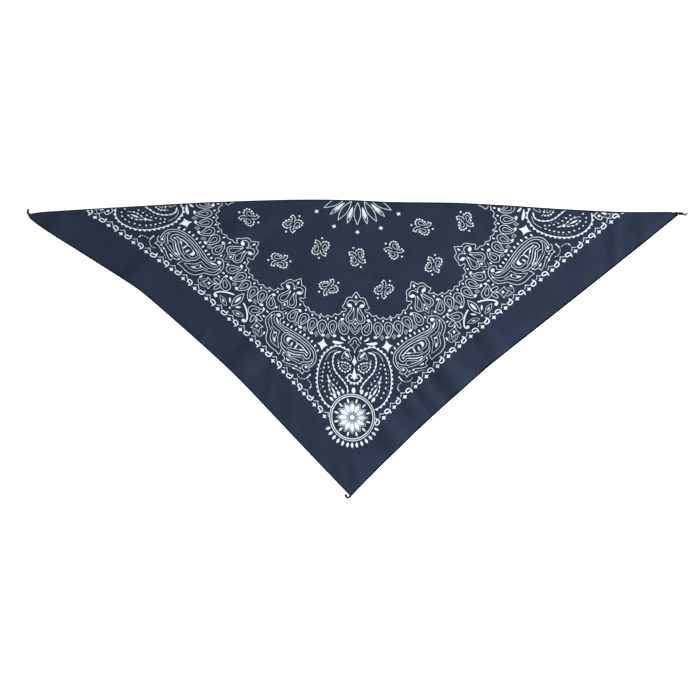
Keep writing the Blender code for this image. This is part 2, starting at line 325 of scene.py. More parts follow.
class Ink:
    """Marks of ink on the flat cloth, in millimetres from the middle of the print, +y to the neck edge."""

    def __init__(self):
        self.lines = []
        self.solids = []

    def line(self, *runs, width=LINE):
        for run in runs:
            self.lines.append((smooth(run), width, False))

    def ring(self, stops, width=LINE):
        self.lines.append((smooth(stops, closed=True), width, True))

    def drawn(self, curve, width=LINE, closed=False):
        self.lines.append((np.array(curve, float), width, closed))

    def solid(self, shape):
        self.solids.append(np.array(shape, float))

    def leaf(self, start, end, width):
        self.solid(leaf(start, end, width))

    def dots(self, radius, *places):
        for x, y in places:
            self.solid(oval(x, y, radius, radius, count=10))

    def seeds(self, long, short, turn, *places):
        for x, y in places:
            self.solid(oval(x, y, long, short, turn))

    def teeth(self, curve, step, base, height):
        """Small blunt points that stand out on the left of a curve."""
        for place, out in zip(*evenly(curve, step)):
            ahead = base * np.array([out[1], -out[0]])
            foot, top = place - 0.3 * out, place + height * out
            self.solid([foot - 0.5 * ahead, foot + 0.5 * ahead, top + 0.2 * ahead, top - 0.2 * ahead])

    def beads(self, curve, step, half_long, half_wide, out):
        """Ovals that lie along a curve, out to its left."""
        places, left = evenly(curve, step)
        for (x, y), side in zip(places + out * left, left):
            self.solid(oval(x, y, half_long, half_wide, math.degrees(math.atan2(-side[0], side[1]))))

    def add(self, other, turn=0.0, x=0.0, y=0.0, flip=False, swap=False):
        """Places a drawing: swapped over the x = -y diagonal, flipped left to right, turned, then moved."""
        c, s = math.cos(math.radians(turn)), math.sin(math.radians(turn))
        move = np.array([[c, -s], [s, c]])
        if flip:
            move = move @ np.array([[-1.0, 0.0], [0.0, 1.0]])
        if swap:
            move = move @ np.array([[0.0, -1.0], [-1.0, 0.0]])
        for curve, width, closed in other.lines:
            self.lines.append((curve @ move.T + (x, y), width, closed))
        for shape in other.solids:
            self.solids.append(shape @ move.T + (x, y))


def both_sides(half):
    """A drawing and its mirror image over the line straight down from the middle."""
    whole = Ink()
    whole.add(half)
    whole.add(half, flip=True)
    return whole


def all_round(wedge):
    """A drawing between straight down and the middle of a leg, repeated on the half square."""
    whole = both_sides(wedge)
    for flip in (False, True):
        whole.add(wedge, flip=flip, swap=True)
    return whole


def medallion():
    """The flower in the middle: plain petals in front, filled ones behind, and a ring of stars."""
    plain, filled, ring_star = Ink(), Ink(), Ink()
    plain.drawn(leaf((0, -14.5), (0, -45), 7.6), closed=True)
    filled.line([(-2.6, -31), (-2.2, -36), (-1.2, -41), (0, -44.5)],
                [(2.6, -31), (2.2, -36), (1.2, -41), (0, -44.5)])
    filled.leaf((0, -21), (0, -38.5), 3.6)
    ring_star.solid(star(0, -55, 3.3))
    ink = Ink()
    for number in range(-6, 7):
        ink.add(filled if number % 2 else plain, turn=15 * number)
        if number % 2 == 0:
            ink.add(ring_star, turn=15 * number)
    return ink


def sprig():
    """Two little paisleys head to tail, edged with beads, and two dots."""
    half = Ink()
    half.line([(-2, -5.5), (-6.5, -6), (-9.5, -5), (-11, -2.5), (-10.5, 0.5), (-8.5, 2.5), (-5, 4.5),
               (-2.5, 6), (-1.5, 7.5), (-3.5, 9)], width=FINE)
    half.line([(-3.5, 9), (-1.5, 11.5), (1, 10), (2, 7), (2, 4.5), (1.5, 2.5)])
    half.line([(-1.5, 8), (-1, 6), (-2, 3.5)], width=FAINT)
    half.ring([(-1.5, 3.5), (-2.2, 1), (-4, -2), (-6, -3), (-8, -2), (-8, 0.5), (-6, 2), (-3.5, 3.3)], FINE)
    half.dots(1.0, (-11, 0), (-11.5, -3), (-9.5, -5.5), (-6.5, -6.5), (-8.5, 3), (-5.5, 5), (-3.5, 9),
              (-1.5, 11.5))
    half.dots(1.2, (6.5, 11.5))
    ink = Ink()
    ink.add(half)
    ink.add(half, turn=180)
    return ink


def sprigs():
    """An inner and an outer ring of sprigs."""
    ink = Ink()
    one = sprig()
    for out, first, lean in ((88.4, 0, 50.7), (132.6, 15, -18.5)):
        for number in range(-4, 4):
            turn = first + 30 * number
            away = math.radians(turn)
            ink.add(one, turn=turn + lean, x=out * math.sin(away), y=-out * math.cos(away))
    return ink


def crown(chevrons):
    """A three-pointed crown on two scrolls, with two long drops and a cone of chevrons below it."""
    half = Ink()
    half.line([(0, 0), (2.5, -3), (5.5, -7.5)],
              [(5.5, -7.5), (8, -7), (11, -8), (13, -11.5), (14.5, -15.5), (17, -19)],
              [(17, -19), (15.5, -21), (11.5, -22.5)],
              [(11.5, -22.5), (12.5, -24.5), (15, -25.5), (18, -25.5)],
              [(0, -16), (2, -13), (4.5, -11), (7, -11), (9.5, -12), (11, -15), (10.5, -17)],
              [(5, -18.5), (5, -20), (6, -23), (10, -29), (12, -33), (11.5, -37), (9.5, -39), (7, -40),
               (4.5, -40), (2.5, -38), (0, -34)])
    half.solid(oval(7.8, -17.5, 2.9, 2.2, 20))
    half.ring([(2.5, -20), (3, -23.5), (5.5, -27.5), (8.5, -31.5), (9, -34), (8, -36.5), (6.5, -37.5),
               (4.5, -36.5), (2.5, -33.5), (2, -29), (2, -24.5)], FINE)
    half.leaf((2.5, -19.5), (3, -24.5), 1.5)
    half.line([(4.5, -40.5), (2, -43.5), (0, -47.5)], [(5.5, -44.5), (4, -47), (2.5, -49.5), (0, -51)],
              width=FINE if chevrons == 3 else FAINT)
    if chevrons == 3:
        half.line([(8, -41.5), (7.5, -45.5), (5.5, -48.5), (3.5, -51.5), (0, -54.5)], width=FINE)
    ink = both_sides(half)
    ink.solid(oval(0, -6.7, 1.3, 2.0))
    ink.dots(0.7, (0, -11.6))
    ink.leaf((0, -14.6), (0, -17.4), 1.8)
    ink.leaf((0, -33), (0, -36), 1.6)
    ink.solid(star(0, -40.4, 2.1))
    return ink


# Each crown's turn from the middle line, its distance from the middle and its number of chevrons
CROWNS = ((0.0, 133.0, 3), (30.2, 135.6, 2), (59.8, 135.6, 2), (90.0, 133.0, 3))


def crowns():
    """The crowns in a ring round the sprigs, a mirrored pair of all but the one on the middle line."""
    ink = Ink()
    for turn, out, chevrons in CROWNS:
        one = Ink()
        one.add(crown(chevrons), y=-out)
        for side in (1, -1) if turn else (1,):
            ink.add(one, turn=side * turn)
    return ink


def scallops():
    """The wavy line that joins the crowns, with its cusps pointing to the middle."""
    ink = Ink()
    ink.line(
        [(17, -158.5), (19, -161), (22, -163), (26, -161.5)],
        [(26, -161.5), (28, -164.5), (31, -166), (35, -163.5)],
        [(35, -163.5), (37, -165.8), (39.5, -166.3), (42, -165), (43.5, -162)],
        [(43.5, -162), (45, -164), (47.5, -164.5), (50.5, -163), (52, -160)],
        [(52, -160), (54.5, -160.5), (57.5, -159.5), (59.3, -154.5)],
        [(59.3, -154.5), (62, -154.3), (64.4, -152.2), (65.6, -148.3)],
        [(96.3, -131), (98, -132), (101, -133.6), (104, -132.4), (106, -129.7)],
        [(106, -129.7), (107.5, -130.7), (110, -131.3), (112.5, -129.6), (114.3, -126.3)],
        [(114.3, -126.3), (116, -126.5), (118, -127), (120, -125.4), (121, -121)],
    )
    return ink


def hanging_drop():
    """A drop with a smaller one inside it, hung from a ball at the origin."""
    ink = Ink()
    ink.solid(oval(0, 0, 2.3, 1.6))
    ink.line([(1, 2), (-1.5, 5.5), (-4.5, 9.5), (-5.7, 13.5), (-4.8, 17), (-2, 19.2), (1.5, 18.7),
              (4.6, 16), (5.9, 11.5), (5.2, 6), (3.4, 1.5), (1.2, 0.4)])
    ink.ring([(2, 4.3), (2.7, 8), (2.9, 12), (1.8, 14.5), (-0.5, 15.4), (-2.3, 13.7), (-2.2, 11.5),
              (-0.2, 8)], FINE)
    return ink


# Each drop's turn, how far right and up of the middle its ball is, and whether it is flipped
HANGING = (
    (170, 16.6, -168.4, True), (-13, 25.9, -189.7, False), (-6, 40.6, -189.6, False),
    (6, 55.4, -187.4, False), (22, 69.5, -180.7, False), (-128, 69.8, -159.3, True),
    (-163, 101.7, -139.3, True), (7, 117.2, -153.0, False), (20, 131.1, -147.2, False),
)


def hanging_drops():
    """The chain of drops under the wavy line, the seeds between them and the hatched diamonds."""
    ink = Ink()
    for place in HANGING:
        ink.add(hanging_drop(), *place)
    for x, y in (
        (15, -162.6), (24.6, -167.2), (34.8, -168.6), (44.8, -166.8), (54.4, -164.2), (62.4, -158),
        (69.4, -151.6), (96.8, -135.4), (107, -134.6), (116.7, -130.8), (98.8, -155.6), (88.8, -151.6),
        (87.2, -163),
    ):
        ink.seeds(1.7, 1.0, math.degrees(math.atan2(y, x)), (x, y))
    ink.seeds(1.7, 1.0, -45, (124.8, -124.8))
    ink.seeds(1.8, 1.0, 60, (110.4, -161.6))
    ink.seeds(1.8, 1.0, 40, (115, -167.5))
    for x, y in ((34.3, -190.2), (49.4, -188.6), (64, -182.6), (75.6, -175.8), (125.2, -149)):
        ink.drawn([(x, y + 3.5), (x + 2.3, y), (x, y - 3.5), (x - 2.3, y)], FAINT, closed=True)
        for rise in (-1.6, 0.1, 1.8):
            ink.drawn([(x - 1.5, y + rise - 0.8), (x + 1.5, y + rise + 0.6)], FAINT)
    return ink


def side_paisley():
    """The large paisley that leans along each half of a leg, with its fin, its striped eye and its wing."""
    ink = Ink()
    # back, head, fin
    ink.line([(59.5, -232.5), (54, -228.5), (50, -223), (49.2, -216.5), (51, -209), (56, -203),
              (64, -195.5), (74.5, -189), (84, -183.5), (91, -180), (95, -175.5), (94, -170.5)],
             [(94, -170.5), (90.6, -169.8), (90.2, -166), (92, -162.5), (96.5, -160.8), (101.5, -161),
              (105.5, -163), (109, -166), (112.5, -171), (113, -176), (110.6, -185)],
             [(110.6, -185), (113, -194), (112.5, -200), (108, -207), (101.5, -212), (97.5, -216.7)],
             [(97.5, -216.7), (95, -213), (94, -209.7)])
    ink.dots(1.6, (62.3, -230.7))
    ink.dots(2.4, (96.2, -165.9))
    ink.line([(99.4, -169), (97, -177), (90.5, -183.5), (80, -189), (71, -194.5), (62.5, -201),
              (56.5, -206.5), (52.8, -212.5), (52.4, -218.5), (55, -225.5), (61, -231)])
    ink.leaf((99.8, -168.6), (96.6, -178), 2.2)
    ink.line([(98, -164), (101.8, -168), (102.6, -171.5), (101.5, -175.5), (95.5, -182.5), (89, -188.4)],
             [(101.2, -164), (104.6, -166.4), (105.6, -171), (104.2, -179), (100, -184), (95.2, -187.2)],
             [(95.2, -187.2), (97.8, -193), (98.4, -199), (97.1, -208.4)],
             [(105.6, -166.2), (109, -172), (109, -178), (106, -186.8)],
             [(106, -186.8), (108, -195), (106, -201), (101, -206), (97.1, -208.4)],
             [(106, -181), (104, -185), (101.4, -188.6)], width=FINE)
    ink.dots(1.0, (105.2, -166.3))
    ink.ring([(101, -188.6), (103.6, -189.8), (104.6, -195), (102.2, -201), (101.4, -196), (99.7, -191)],
             FINE)
    ink.leaf((102, -201.4), (103.2, -194.5), 2.2)
    ink.solid(oval(101.4, -188.8, 2.1, 0.9))
    # the eye
    ink.line([(89, -188.3), (84.5, -189.3), (77.5, -194), (68.5, -199.5), (60, -207.5), (56.7, -213.5),
              (57.5, -217.7), (61, -220.7), (64.2, -218.7), (66, -216.3), (69, -216)],
             [(89, -188.3), (92.2, -192), (93.9, -197.2), (92, -204.5), (86.6, -209), (79.3, -212),
              (70.5, -212.7), (64.7, -213.3), (61.8, -215.8)])
    ink.line([(69, -216), (76, -216), (82.5, -214.4), (85.7, -213)], width=1.2)
    ink.dots(1.1, (61.7, -216))
    ink.line([(77.6, -194.2), (82, -192.3), (87.2, -191.2), (90.4, -195.5), (90.2, -199.6), (86.9, -202.8),
              (83.4, -205.2), (81.4, -205.3)], [(74.6, -199.3), (78.6, -197.2), (80.5, -196)], width=FINE)
    ink.leaf((79.5, -200), (82, -205.8), 2.2)
    ink.solid([(79.6, -196.6), (82, -195), (84.2, -194.2), (86.2, -195), (87.4, -197.4), (86.8, -199.4),
               (85, -201.6), (84.6, -199.6), (83.4, -197.8), (82, -196.6)])
    ink.line([(73, -202.2), (71, -202.4), (66.6, -206), (63.4, -210), (60, -213.4)], width=1.1)
    ink.leaf((73, -202.6), (77.4, -208.6), 2.0)
    ink.line([(77, -208.4), (81.6, -208), (85.8, -207)], [(64.9, -210.2), (69, -209.3), (77, -208.8)],
             width=FINE)
    ink.leaf((65.6, -210), (71.6, -208.9), 1.9)
    ink.leaf((73.2, -202.4), (75, -199.4), 1.2)
    # stripes under the eye
    ink.line([(95, -201.5), (94.6, -205), (92.5, -209), (87.2, -214), (80, -220), (71, -223.5)],
             [(54.5, -220.7), (57, -223.3), (61.3, -224.3), (69.3, -224.7)])
    ink.leaf((81, -219.4), (86.6, -214.8), 1.9)
    ink.line([(65, -223.3), (66.4, -220), (68, -218.9), (75, -219), (80, -218.2)],
             [(58.3, -226.3), (61.5, -227.4), (64.7, -228)],
             [(67.7, -227.3), (72.5, -226.4), (79.3, -223.5), (89, -216)], width=FINE)
    ink.solid([(82.4, -224.4), (87.2, -220.8), (87.9, -222.8), (86.2, -224.2)])
    # the wing below it
    ink.line([(57, -233.7), (59, -235.3), (63, -236.3), (66, -234), (67.5, -230.7), (65, -227.8)],
             [(64.7, -237), (66, -238), (67, -240)],
             [(67, -240), (69.5, -236.8), (76, -233.7)])
    ink.leaf((75.6, -233.9), (80.6, -232.6), 1.9)
    ink.dots(1.1, (57.2, -240.3), (91, -214.3))
    ink.line([(91, -214.5), (92.7, -216.7)], [(92.7, -216.7), (89.7, -221.3), (92.3, -224.7)],
             [(92.3, -224.7), (87, -227.3), (77, -229)])
    ink.leaf((76.6, -229.2), (73.2, -231.6), 1.9)
    ink.leaf((68.8, -234), (71.2, -231.2), 1.6)
    ink.line([(80.7, -231.6), (85, -230.6), (89.6, -229.8)], width=FAINT)
    # seeds along its back
    ink.seeds(1.9, 1.1, 125, (47.2, -209.2), (50.6, -203.4), (54.8, -198), (59.4, -194.2), (64.4, -190.4),
              (69.6, -187), (75, -183.8), (80.6, -180.8), (85.4, -178), (90.2, -175))
    return ink


def corner_paisley(tip, row_end):
    """One of the two large combed paisleys that face each other in the corner of the square."""
    ink = Ink()
    back = smooth([(6, -208.2), (12, -206), (18, -203.2), (25, -202.9), (32.5, -207.4), (39, -213.5),
                   (43, -221.5), (46, -231), (47.6, -243), (47.2, -253), (45.2, -261.5), (41, -269.5),
                   (36.3, -275.5), (30.3, -279.8), *tip])
    ink.drawn(back, 1.05)
    ink.beads(back, 5.6, 1.5, 1.0, 1.15)
    front = smooth([(17.6, -209.2), (22, -210.2), (25.9, -213), (27.8, -219), (27.3, -227), (24, -235),
                    (17, -242.7), (11, -250), (8.5, -256), (8.4, -261)])
    ink.drawn(front, 0.85)
    ink.beads(front, 5.4, 1.9, 1.0, -0.2)
    ink.leaf((16.8, -209), (24, -210.8), 2.0)
    ink.line([(22.6, -207.9), (28, -209.3), (32.6, -212.7), (36.7, -220.4)], width=FINE)
    ink.seeds(1.3, 0.85, 100, (37.8, -225.4), (39.2, -230.4), (40.3, -236), (41, -241.6), (41.2, -247.2),
              (40.3, -254.5), (37.9, -260.6))
    ink.seeds(1.2, 0.85, 55, (34.9, -266.7), *row_end)
    ink.seeds(1.2, 0.85, 75, (33.7, -224.2), (33, -229.4), (31.6, -234.8), (29.6, -240), (26.3, -245),
              (22.2, -249.4), (18.2, -254.2))
    ink.dots(0.4, (43.1, -232), (43.5, -237), (43.8, -242), (43.9, -247), (43.8, -252), (43.3, -257.4),
             (29, -231.4), (27.6, -236.8), (24.4, -241.5), (21, -246.7))
    # the sprig inside it
    ink.leaf((32.6, -245.6), (34.9, -238.2), 1.4)
    ink.solid(star(32.3, -247, 2.9))
    ink.leaf((23.6, -264.4), (29.6, -254), 2.1)
    ink.line([(29, -255), (31.6, -249.6)],
             [(32.3, -247), (32.8, -253), (31.8, -258), (29.3, -263), (25.1, -267)],
             [(32.3, -247), (27.1, -251.6), (23.2, -255.7), (20.7, -260)], width=FAINT)
    ink.line([(20.7, -260), (19.8, -264), (19.6, -267.8)], width=FINE)
    ink.seeds(1.6, 0.85, 88, (32.7, -252.8), (31.8, -257.9))
    ink.seeds(1.5, 0.9, 45, (27.1, -251.6), (23.2, -255.7), (25.1, -267))
    ink.dots(1.1, (29.3, -263.1), (20.7, -260))
    # the lily at its head
    ink.ring([(6, -208.3), (7, -211), (5.2, -213.8), (3.8, -217), (5.5, -219.8), (9.6, -218),
              (12.2, -216.2), (14.6, -217.8), (16.6, -218), (15.3, -213.5), (13.4, -210), (9.8, -208.2)],
             FINE)
    ink.leaf((6.6, -216.8), (13.2, -209.6), 3.0)
    # the small drop under its head
    ink.ring([(21.5, -219), (20.2, -224), (19.4, -229), (15.5, -233.2), (10.4, -234), (6.2, -230.8),
              (6, -226.6), (9.4, -223.6), (15.4, -223), (19.5, -221.4)], FAINT)
    ink.dots(1.1, (5.3, -227), (5.5, -231), (8.2, -233.4), (11.8, -234.9), (15.6, -233.4), (18.6, -230.6),
             (20.3, -227.6), (20.6, -223.8), (8.6, -224), (11.8, -222.8), (15.6, -222.4))
    ink.ring([(17, -226), (12, -226.4), (8.8, -228.6), (11, -231), (14.6, -229.8)], FINE)
    return ink


def corner_curl():
    """A curl with a leaf, between a paisley's foot and the corner of the border."""
    ink = Ink()
    ink.line([(12.2, -289.8), (14.6, -286.4), (17.8, -286.2), (20.6, -289.2), (22, -293.2), (20.1, -294.6),
              (17.9, -294.6)], width=0.85)
    ink.solid(oval(16.9, -291.2, 1.5, 1.8))
    ink.solid([(12.2, -293), (14.8, -296.2), (15.9, -299.6), (13.5, -299.8), (11.5, -298), (11.4, -295)])
    ink.line([(17.9, -294.8), (18.6, -298.3), (19.6, -301.8)], [(13.7, -301), (14.2, -303), (16.7, -303.9),
             (19.5, -302.3)], [(14.2, -303.1), (13.8, -306.6), (11.3, -307.4)], width=FINE)
    return ink


def corner_paisleys():
    """A pair in each corner. The rosette covers the ends of the pair at the point."""
    ink = corner_paisley([(26.6, -281.2)], [])
    ink.add(corner_paisley([], []), flip=True)
    whole = corner_paisley([(24, -281.9), (14.2, -281.2)],
                           [(30.9, -271.1), (25.8, -274.4), (20.1, -274.5), (15.2, -270.4)])
    whole.add(corner_curl(), y=1.0)
    for flip in (False, True):
        ink.add(whole, flip=flip, swap=True)
    return ink


def corner_marks():
    """What stands on the line from the middle of the square to its corner, and by it."""
    ink = Ink()
    ink.line([(0, -190.7), (3, -192), (5.3, -195), (8.4, -198.6)])
    ink.line([(0, -194.3), (1.6, -196), (2.8, -199), (6, -200.5)],
             [(6, -200.5), (3, -203), (1, -206), (0, -210.4)], width=FINE)
    ink.leaf((8.4, -188.6), (6.8, -194), 2.0)
    ink.solid(teardrop((10.8, -195.4), (17.0, -191.3), 1.25, 0.8))
    ink.solid(teardrop((13.4, -198), (26.8, -197.2), 1.8, 0.7))
    ink.solid(star(41, -201, 7.4, 9, tall=1.14, count=24))
    # the spindle and the lily on the middle line
    ink.solid([(0, -212.7), (0.9, -218), (3.2, -222), (0.9, -224.4), (0, -227)])
    ink.solid([(0, -228.6), (1.4, -234), (2.9, -239), (1.6, -242.4), (0, -245)])
    ink.line([(3, -237.8), (6, -237.2), (8.6, -240.4), (8.6, -243), (6.6, -245.6), (4, -247.6), (0, -248)],
             width=1.2)
    ink.dots(1.1, (3.4, -241.4), (10.2, -241.6), (8.2, -245.6), (4.4, -249), (0, -249.4))
    # a thin thorny twig by the border
    twig = smooth([(57.4, -240.6), (61.2, -244.4), (66.0, -246.2), (71.6, -244.0), (74.0, -239.6)])
    ink.drawn(twig, FAINT)
    ink.teeth(twig, 3.6, 0.7, 1.0)
    other = smooth([(60.2, -246.4), (57.2, -249.4), (55.4, -253.2), (56.8, -257.6)])
    ink.drawn(other, FAINT)
    ink.teeth(other, 3.4, 0.7, 1.0)
    ink.leaf((61.6, -245.4), (57.8, -241), 1.4)
    ink.leaf((55, -254.2), (57.8, -258.2), 1.3)
    return ink


def side_cross():
    """The cross of leaves at the middle of a leg, with its two curled branches."""
    half = Ink()
    half.drawn(leaf((140, -167.6), (154, -160.6), 6.0), FINE, closed=True)
    half.leaf((144.3, -165.3), (149.6, -163), 1.9)
    half.leaf((142.3, -155.6), (150.1, -155.9), 2.3)
    half.line([(139, -150.9), (137.4, -155), (136, -160), (135.4, -165.3), (135.8, -170.5), (137.6, -174),
               (139.8, -174.6)], width=1.8)
    half.dots(2.1, (140.6, -172.9))
    ink = Ink()
    ink.add(half)
    ink.add(half, swap=True)
    ink.drawn(leaf((138, -138), (154.4, -154.4), 8.6), LINE, closed=True)
    ink.leaf((141.5, -141.8), (150.2, -150), 3.4)
    ink.dots(1.2, (156.6, -156.6))
    return both_sides(ink)


def flower_sprig():
    """A flower under two petals and a drop, beside the cross of leaves."""
    ink = Ink()
    ink.solid(oval(114.6, -158.2, 2.0, 1.3, 70))
    ink.line([(115, -160.6), (118.5, -158.6), (124, -155.3), (129, -154.2), (133, -156.8), (133.9, -161),
              (132, -164), (129.6, -165.9)], [(115.2, -161), (118.5, -163.6), (124, -165.6)])
    ink.ring([(119.6, -161.4), (123, -159.1), (127.5, -158), (130.1, -160.3), (128.6, -162.8),
              (123.5, -162.9)], FINE)
    ink.ring([(124.8, -168.2), (122.3, -165.8), (119, -168.1), (117, -172.6), (120, -173.7),
              (122.9, -170.9)])
    ink.ring([(125.2, -168.2), (128.4, -166.6), (131.2, -169.8), (132.2, -174.6), (129, -173.7),
              (126.5, -170.3)])
    ink.leaf((124.6, -171), (124.6, -174.6), 1.8)
    ink.line([(124.4, -173.8), (121.5, -176.8), (117.3, -180.6)],
             [(124.8, -173.8), (127.2, -178), (131.2, -181.4)], [(117, -181.6), (120, -182.4)],
             [(120, -182.4), (122.8, -187.8)], [(122.8, -187.8), (124.4, -185.2), (130.6, -182.2)],
             [(129.2, -184.6), (127.8, -188.9), (122.3, -193.4), (117.6, -192), (115.4, -188)], width=FINE)
    ink.line([(118.7, -183), (118.2, -187), (119.6, -191)], [(120.8, -184), (121.2, -188), (123.6, -190.6)],
             [(126.6, -186), (125.4, -189.6), (123.2, -191)], width=FAINT)
    ink.dots(0.8, (117, -181.2), (131, -181.8))
    ink.solid(star(124.1, -180.1, 2.7))
    ink.seeds(2.2, 1.1, -60, (115.4, -189.4))
    return ink


ROW_STEP = 18.85  # from one loop of the row to the next
ROW_OUT = 163.3  # how far right and down the middle of the row is


def border(numbers):
    """The row along each leg: loops turned in and out by turns, with a star and a chevron between."""
    loop, spacer, row = Ink(), Ink(), Ink()
    loop.line([(1.5, 4.3), (2.5, 2), (2.7, 0), (1.7, -2.1), (-0.5, -2.8), (-2.9, -2.6), (-3.9, -0.9),
               (-3.3, 0.9), (-1.6, 1.3), (0.4, 1.4), (1.7, 2.6)], width=1.35)
    spacer.solid(star(0, -2.2, 3.9, tall=0.88, hollow=3.4))
    spacer.line([(-4.2, 1.5), (-2.6, 2), (0, 5)], [(0, 5), (2.6, 2), (4.2, 1.5)], width=0.62)
    for number in numbers:
        at = ROW_STEP * number
        if number % 2:
            row.add(loop, turn=180, flip=True, x=at)
        else:
            row.add(loop, x=at)
        row.add(spacer, x=at + ROW_STEP / 2)
    return row


def borders():
    """A row along each leg, meeting at the point."""
    ink = Ink()
    ink.add(border(range(-10, 13)), turn=45, x=ROW_OUT, y=-ROW_OUT)
    ink.add(border(range(-12, 10)), turn=-45, x=-ROW_OUT, y=-ROW_OUT)
    return ink


def rosette():
    """A plain round flower inside rings, in the corner of the print."""
    ink = Ink()
    for radius, width in ((29.0, 0.9), (26.6, 1.2)):
        ink.drawn(oval(0, 0, radius, radius, count=72), width, closed=True)
    for number in range(12):
        petal = Ink()
        petal.solid(leaf((0, 6.2), (0, 18.4), 5.4))
        petal.drawn(leaf((0, 5.2), (0, 20.4), 7.8), FINE, closed=True)
        ink.add(petal, turn=30 * number)
        point = Ink()
        point.solid(leaf((0, 17.8), (0, 24.4), 2.6))
        ink.add(point, turn=30 * number + 15)
    ink.solid(oval(0, 0, 3.3, 3.3, count=20))
    ink.drawn(oval(0, 0, 5.0, 5.0, count=28), FINE, closed=True)
    ray = Ink()
    ray.solid(leaf((0, 31.0), (0, 38.0), 3.4))
    for turn in (21, 31, 41, 51, 115, 126, 137, 148, 159, 170):
        ink.add(ray, turn=turn)
        ink.add(ray, turn=-turn)
    ink.add(ray, turn=180)
    ink.solid(oval(1.6, 33.8, 2.4, 3.5))
    placed = Ink()
    placed.add(ink, x=-2.3, y=-291.2)
    return placed


def whole_print():
    """The drawings that make up the print, each of which becomes one piece."""
    return {
        "medallion": medallion(),
        "sprigs": sprigs(),
        "crowns": crowns(),
        "scallops": all_round(scallops()),
        "drops": all_round(hanging_drops()),
        "side_paisleys": all_round(side_paisley()),
        "corner_paisleys": corner_paisleys(),
        "corner_marks": all_round(corner_marks()),
        "side_crosses": side_cross(),
        "flower_sprigs": all_round(flower_sprig()),
        "border": borders(),
        "rosette": rosette(),
    }


# ------------------------------------------------------------------ settings


class BandanaCloth(bpy.types.PropertyGroup):
    """Sizes and colours of the cloth."""

    thickness: bpy.props.FloatProperty(
        name="Thickness", description="Thickness of the cloth", default=0.0006, min=0.0002, max=0.001,
        unit="LENGTH",
    )
    threads: bpy.props.FloatProperty(
        name="Threads per metre", description="Threads in a metre of the weave", default=2600.0,
        min=500.0, max=6000.0,
    )
    colour: bpy.props.FloatVectorProperty(
        name="Colour", description="Colour of the dyed cloth", subtype="COLOR",
        default=(0.0132, 0.0198, 0.0388), min=0.0, max=1.0,
    )
    # Used for threads where the dye is thinner, and through the weave's height as painted highlight on the
    # crowns of the threads
    thin_dye_and_highlight_colour: bpy.props.FloatVectorProperty(
        name="Paler colour", description="Colour of the threads where the dye is thinner",
        subtype="COLOR", default=(0.0191, 0.0283, 0.0550), min=0.0, max=1.0,
    )


class BandanaPrint(bpy.types.PropertyGroup):
    """Sizes and colours of the print."""

    height: bpy.props.FloatProperty(
        name="Height", description="How far the ink stands above the cloth", default=0.00007,
        min=0.00002, max=0.0005, unit="LENGTH",
    )
    colour: bpy.props.FloatVectorProperty(
        name="Colour", description="Colour of the ink where it is thick", subtype="COLOR",
        default=(0.67, 0.72, 0.78), min=0.0, max=1.0,
    )
    thin_colour: bpy.props.FloatVectorProperty(
        name="Thin colour", description="Colour of the ink where it is thin", subtype="COLOR",
        default=(0.47, 0.555, 0.68), min=0.0, max=1.0,
    )


class BandanaThread(bpy.types.PropertyGroup):
    """Sizes and colour of the overlocking thread."""

    pitch: bpy.props.FloatProperty(
        name="Stitch spacing", description="Distance from one stitch to the next", default=0.00125,
        min=0.0006, max=0.004, unit="LENGTH",
    )
    thickness: bpy.props.FloatProperty(
        name="Thread thickness", description="Thickness of the thread", default=0.00034,
        min=0.0001, max=0.001, unit="LENGTH",
    )
    colour: bpy.props.FloatVectorProperty(
        name="Colour", description="Colour of the thread", subtype="COLOR",
        default=(0.0045, 0.0060, 0.0125), min=0.0, max=1.0,
    )


class BandanaStage(bpy.types.PropertyGroup):
    """The floor and the light."""

    floor_colour: bpy.props.FloatVectorProperty(
        name="Floor colour", description="Colour of the floor", subtype="COLOR",
        default=(0.86, 0.86, 0.86), min=0.0, max=1.0,
    )
    side_light: bpy.props.FloatProperty(
        name="Side light", description="Power of the soft light from the side", default=258.0,
        min=0.0, max=500.0,
    )
    sky_light: bpy.props.FloatProperty(
        name="Sky light", description="Strength of the light from all round", default=0.18,
        min=0.0, max=5.0,
    )


# ------------------------------------------------------------------ materials


def connect(tree, node, **inputs):
    """Links a socket or a node to each input named, or sets a plain value on it; i0 is the first input."""
    for name, value in inputs.items():
        key = int(name[1:]) if name[0] == "i" and name[1:].isdigit() else name.replace("_", " ")
        if isinstance(value, bpy.types.Node):
            value = value.outputs[0]
        if isinstance(value, bpy.types.NodeSocket):
            tree.links.new(value, node.inputs[key])
        else:
            node.inputs[key].default_value = value
    return node


def wired(tree, kind, **inputs):
    """Adds a node and connects its inputs. Names that start with set_ are the node's own settings."""
    node = tree.nodes.new(kind)
    for name in [name for name in inputs if name.startswith("set_")]:
        setattr(node, name[4:], inputs.pop(name))
    return connect(tree, node, **inputs)


def maths_node(tree, operation, *values):
    """A Math node on one, two or three values, sockets or nodes."""
    settings = {f"i{number}": value for number, value in enumerate(values)}
    return wired(tree, "ShaderNodeMath", set_operation=operation, **settings)


def new_group(name, vector, floats, outputs):
    """Starts a shader node group: its tree, inputs and output node, and two helpers that add to it."""
    tree = bpy.data.node_groups.new(name, "ShaderNodeTree")
    if vector:
        tree.interface.new_socket(name=vector, in_out="INPUT", socket_type="NodeSocketVector")
    for label, default in floats.items():
        socket = tree.interface.new_socket(name=label, in_out="INPUT", socket_type="NodeSocketFloat")
        socket.default_value = default
    for label in outputs:
        tree.interface.new_socket(name=label, in_out="OUTPUT", socket_type="NodeSocketFloat")
    given = tree.nodes.new("NodeGroupInput").outputs
    return tree, given, tree.nodes.new("NodeGroupOutput"), partial(wired, tree), partial(maths_node, tree)


